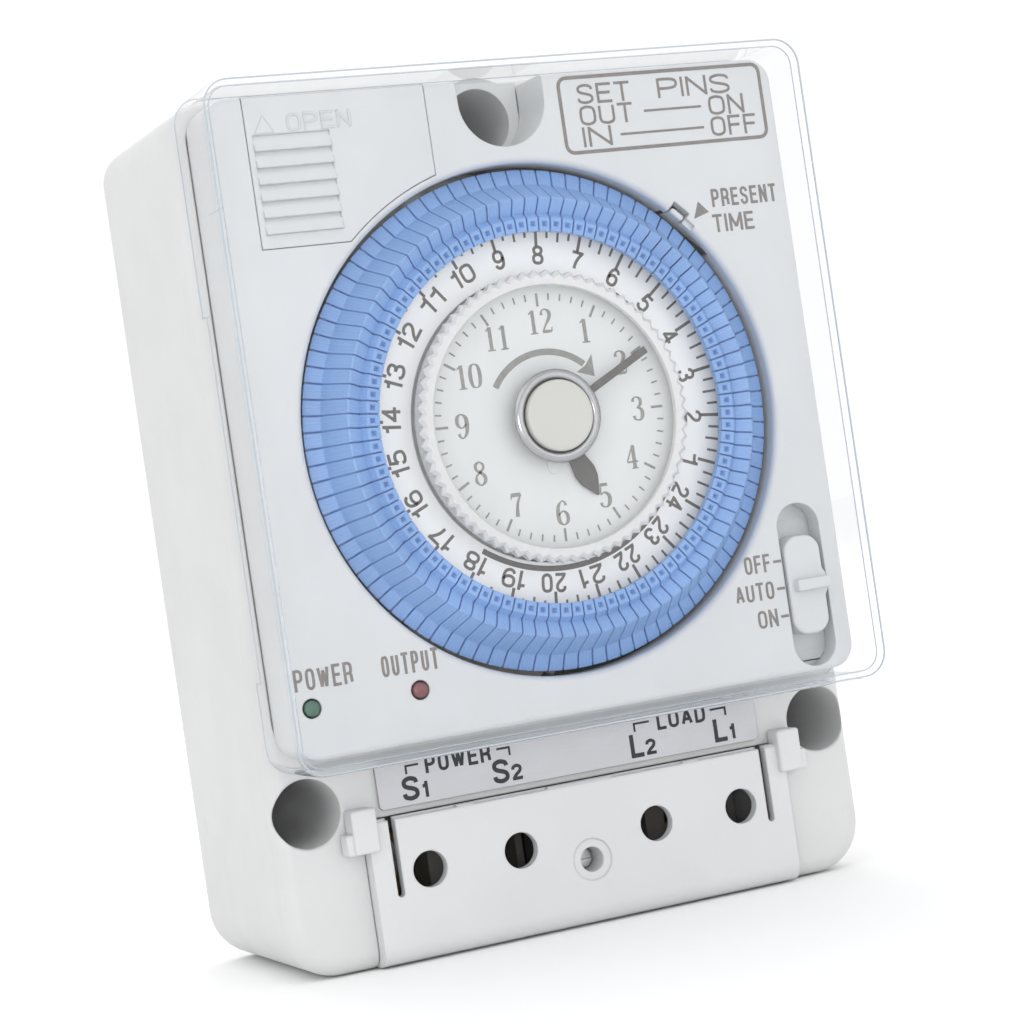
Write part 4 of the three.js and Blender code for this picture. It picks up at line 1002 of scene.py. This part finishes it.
def lamps():
    y = PANEL_FACE
    profile = [(0, -49.6), (1.6, -49.6), (1.6, -50.8), (1.25, -50.8), (1.25, y + 0.1), (1.2, y - 0.15),
               (1.0, y - 0.35), (0.6, y - 0.47), (0, y - 0.5)]
    for x, colour, material in zip(LAMP_XS, ("green", "red"), (GREEN, RED)):
        lens = turned(profile, 40, x, LAMP_Z)
        piece(lens, f"{colour}_indicator_lens", material, "housing", f"lamp_{colour}", f"{colour}_indicator")


def panel_print():
    face = PANEL_FACE
    box = (10.0, 47.5, 54.2, 67.0, 1.7)
    marks = [rail(rounded(*box), rounded(*box, inset=0.6), face + 0.02, face - 0.03)]
    for text, z, x0, x1 in (("SET", 63.9, 13.4, 23.0), ("PINS", 63.9, 28.0, 41.5), ("OUT", 60.4, 13.4, 23.0),
                            ("IN", 56.9, 13.4, 18.6), ("ON", 60.4, 37.0, 43.6), ("OFF", 56.9, 36.9, 45.4)):
        marks += lettering(text, x0, z, face, 3.3, x1 - x0, 0.23, align="LEFT")
    marks += [bar(25.0, 60.4, 35.6, 60.4, 0.4, face), bar(20.2, 56.9, 35.6, 56.9, 0.4, face)]
    marks.append(mark([(32.4, 44.8), (31.3, 42.0), (34.2, 42.9)], face))
    for text, x, z, height, width in (("PRESENT", 35.0, 45.1, 3.0, 12.2), ("TIME", 34.6, 40.9, 3.0, 7.7),
                                      ("POWER", -48.4, -22.1, 3.4, 9.6), ("OUTPUT", -34.0, -22.1, 3.4, 9.5)):
        marks += lettering(text, x, z, face, height, width, 0.235, gap=0.26, align="LEFT")
    for text, z, width in (("OFF", -15.7, 4.8), ("AUTO", -20.2, 7.2), ("ON", -24.8, 3.7)):
        marks += lettering(text, 35.9, z, face, 3.0, width, 0.225, gap=0.26, align="RIGHT")
        marks.append(bar(36.5, z, 38.0, z, 0.45, face))
    piece(gather(marks), "panel_print", PRINT, "housing", "print_grey")


for build in (rear_case, front_panel, battery_lid, clear_cover, terminal_cover, terminals, terminal_label,
              pins, hour_disc, clock_face, hands, setting_disc, hub, mode_slider, switch_body, trip_lever,
              lamps, panel_print):
    build()

# The inner CAD nodes keep their shapes and get a finish of their own.
FINISHES = {
    "steel": STEEL, "brass": BRASS, "black_plastic": BLACK, "board_green": BOARD, "tan_plastic": TAN,
    "gear_white": GEAR, "battery_wrap": WRAP, "panel_white": PANEL, "case_white": WHITE, "print_grey": PRINT,
    "disc_white": FACE, "pin_blue": BLUE, "clear_plastic": CLEAR, "label_silver": LABEL, "hub_beige": BEIGE,
    "hub_chrome": CHROME, "lamp_green": GREEN, "lamp_red": RED,
}
for part in frame["record"]["subparts"]:
    node = frame["nodes"][part["node"]]
    finish = FINISHES[part["material_slot"]]
    if not node.data.materials:
        node.data.materials.append(finish)
    for slot in node.material_slots:
        slot.material = finish


# ---- floor, light and camera ----
def floor():
    """A pale round floor that the part stands on, a hair below it."""
    bm = bmesh.new()
    bmesh.ops.create_circle(bm, cap_ends=True, segments=96, radius=6.0)
    bmesh.ops.translate(bm, verts=bm.verts, vec=(0, 0, cad_box[0][2] - 0.0002))
    ob = as_object(bm, "floor")
    n = Nodes("floor_white")
    tint = n.ramp(n.noise(3.0, 2.0), [(0.3, (0.95, 0.95, 0.95)), (0.7, (0.965, 0.965, 0.965))])
    ob.data.materials.append(n.finish(tint, n.spread(n.noise(5.0), 0.85, 0.95), Specular_IOR_Level=0.1))
    ob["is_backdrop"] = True


def lamp(name, position, size, energy):
    """A round soft light aimed at the middle of the part."""
    light = bpy.data.lights.new(name, "AREA")
    light.shape, light.size, light.energy = "DISK", size, energy
    ob = bpy.data.objects.new(name, light)
    ob.location = position
    ob.rotation_euler = (Vector((0, -0.03, 0)) - Vector(position)).to_track_quat("-Z", "Y").to_euler()
    scene.collection.objects.link(ob)


floor()
lamp("key", (-0.9, -0.8, 1.1), 1.3, 2.3)
lamp("fill", (0.5, -1.4, 0.2), 1.3, 2.0)
lamp("back", (0.2, 1.0, 1.2), 1.3, 4.0)
lamp("front", (-0.20, -0.50, 0.0), 0.12, 0.24)
world = bpy.data.worlds.new("studio")
world.use_nodes = True
backdrop = world.node_tree.nodes["Background"]
backdrop.inputs["Color"].default_value = (1.0, 1.0, 1.0, 1)
backdrop.inputs["Strength"].default_value = 1.05
scene.world = world

# The camera looks from the photo's viewing angle.
camera_data = bpy.data.cameras.new("camera")
camera = bpy.data.objects.new("camera", camera_data)
scene.collection.objects.link(camera)
forward = Vector((0.39311, 0.91949, 0.002665)).normalized()
right = forward.cross(Vector((0.132861, -0.059670, 0.989337))).normalized()
up = right.cross(forward)
turn = Matrix((right, up, -forward)).transposed()
camera.matrix_world = Matrix.Translation((-0.171505, -0.435121, -0.002416)) @ turn.to_4x4()
camera_data.lens = 92.13
camera_data.sensor_width = 36.0
camera_data.clip_start, camera_data.clip_end = 0.01, 50.0
scene.camera = camera

plain = lambda box: [list(map(float, corner)) for corner in box]
{"cad": plain(cad_box), "visual": plain(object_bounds())}
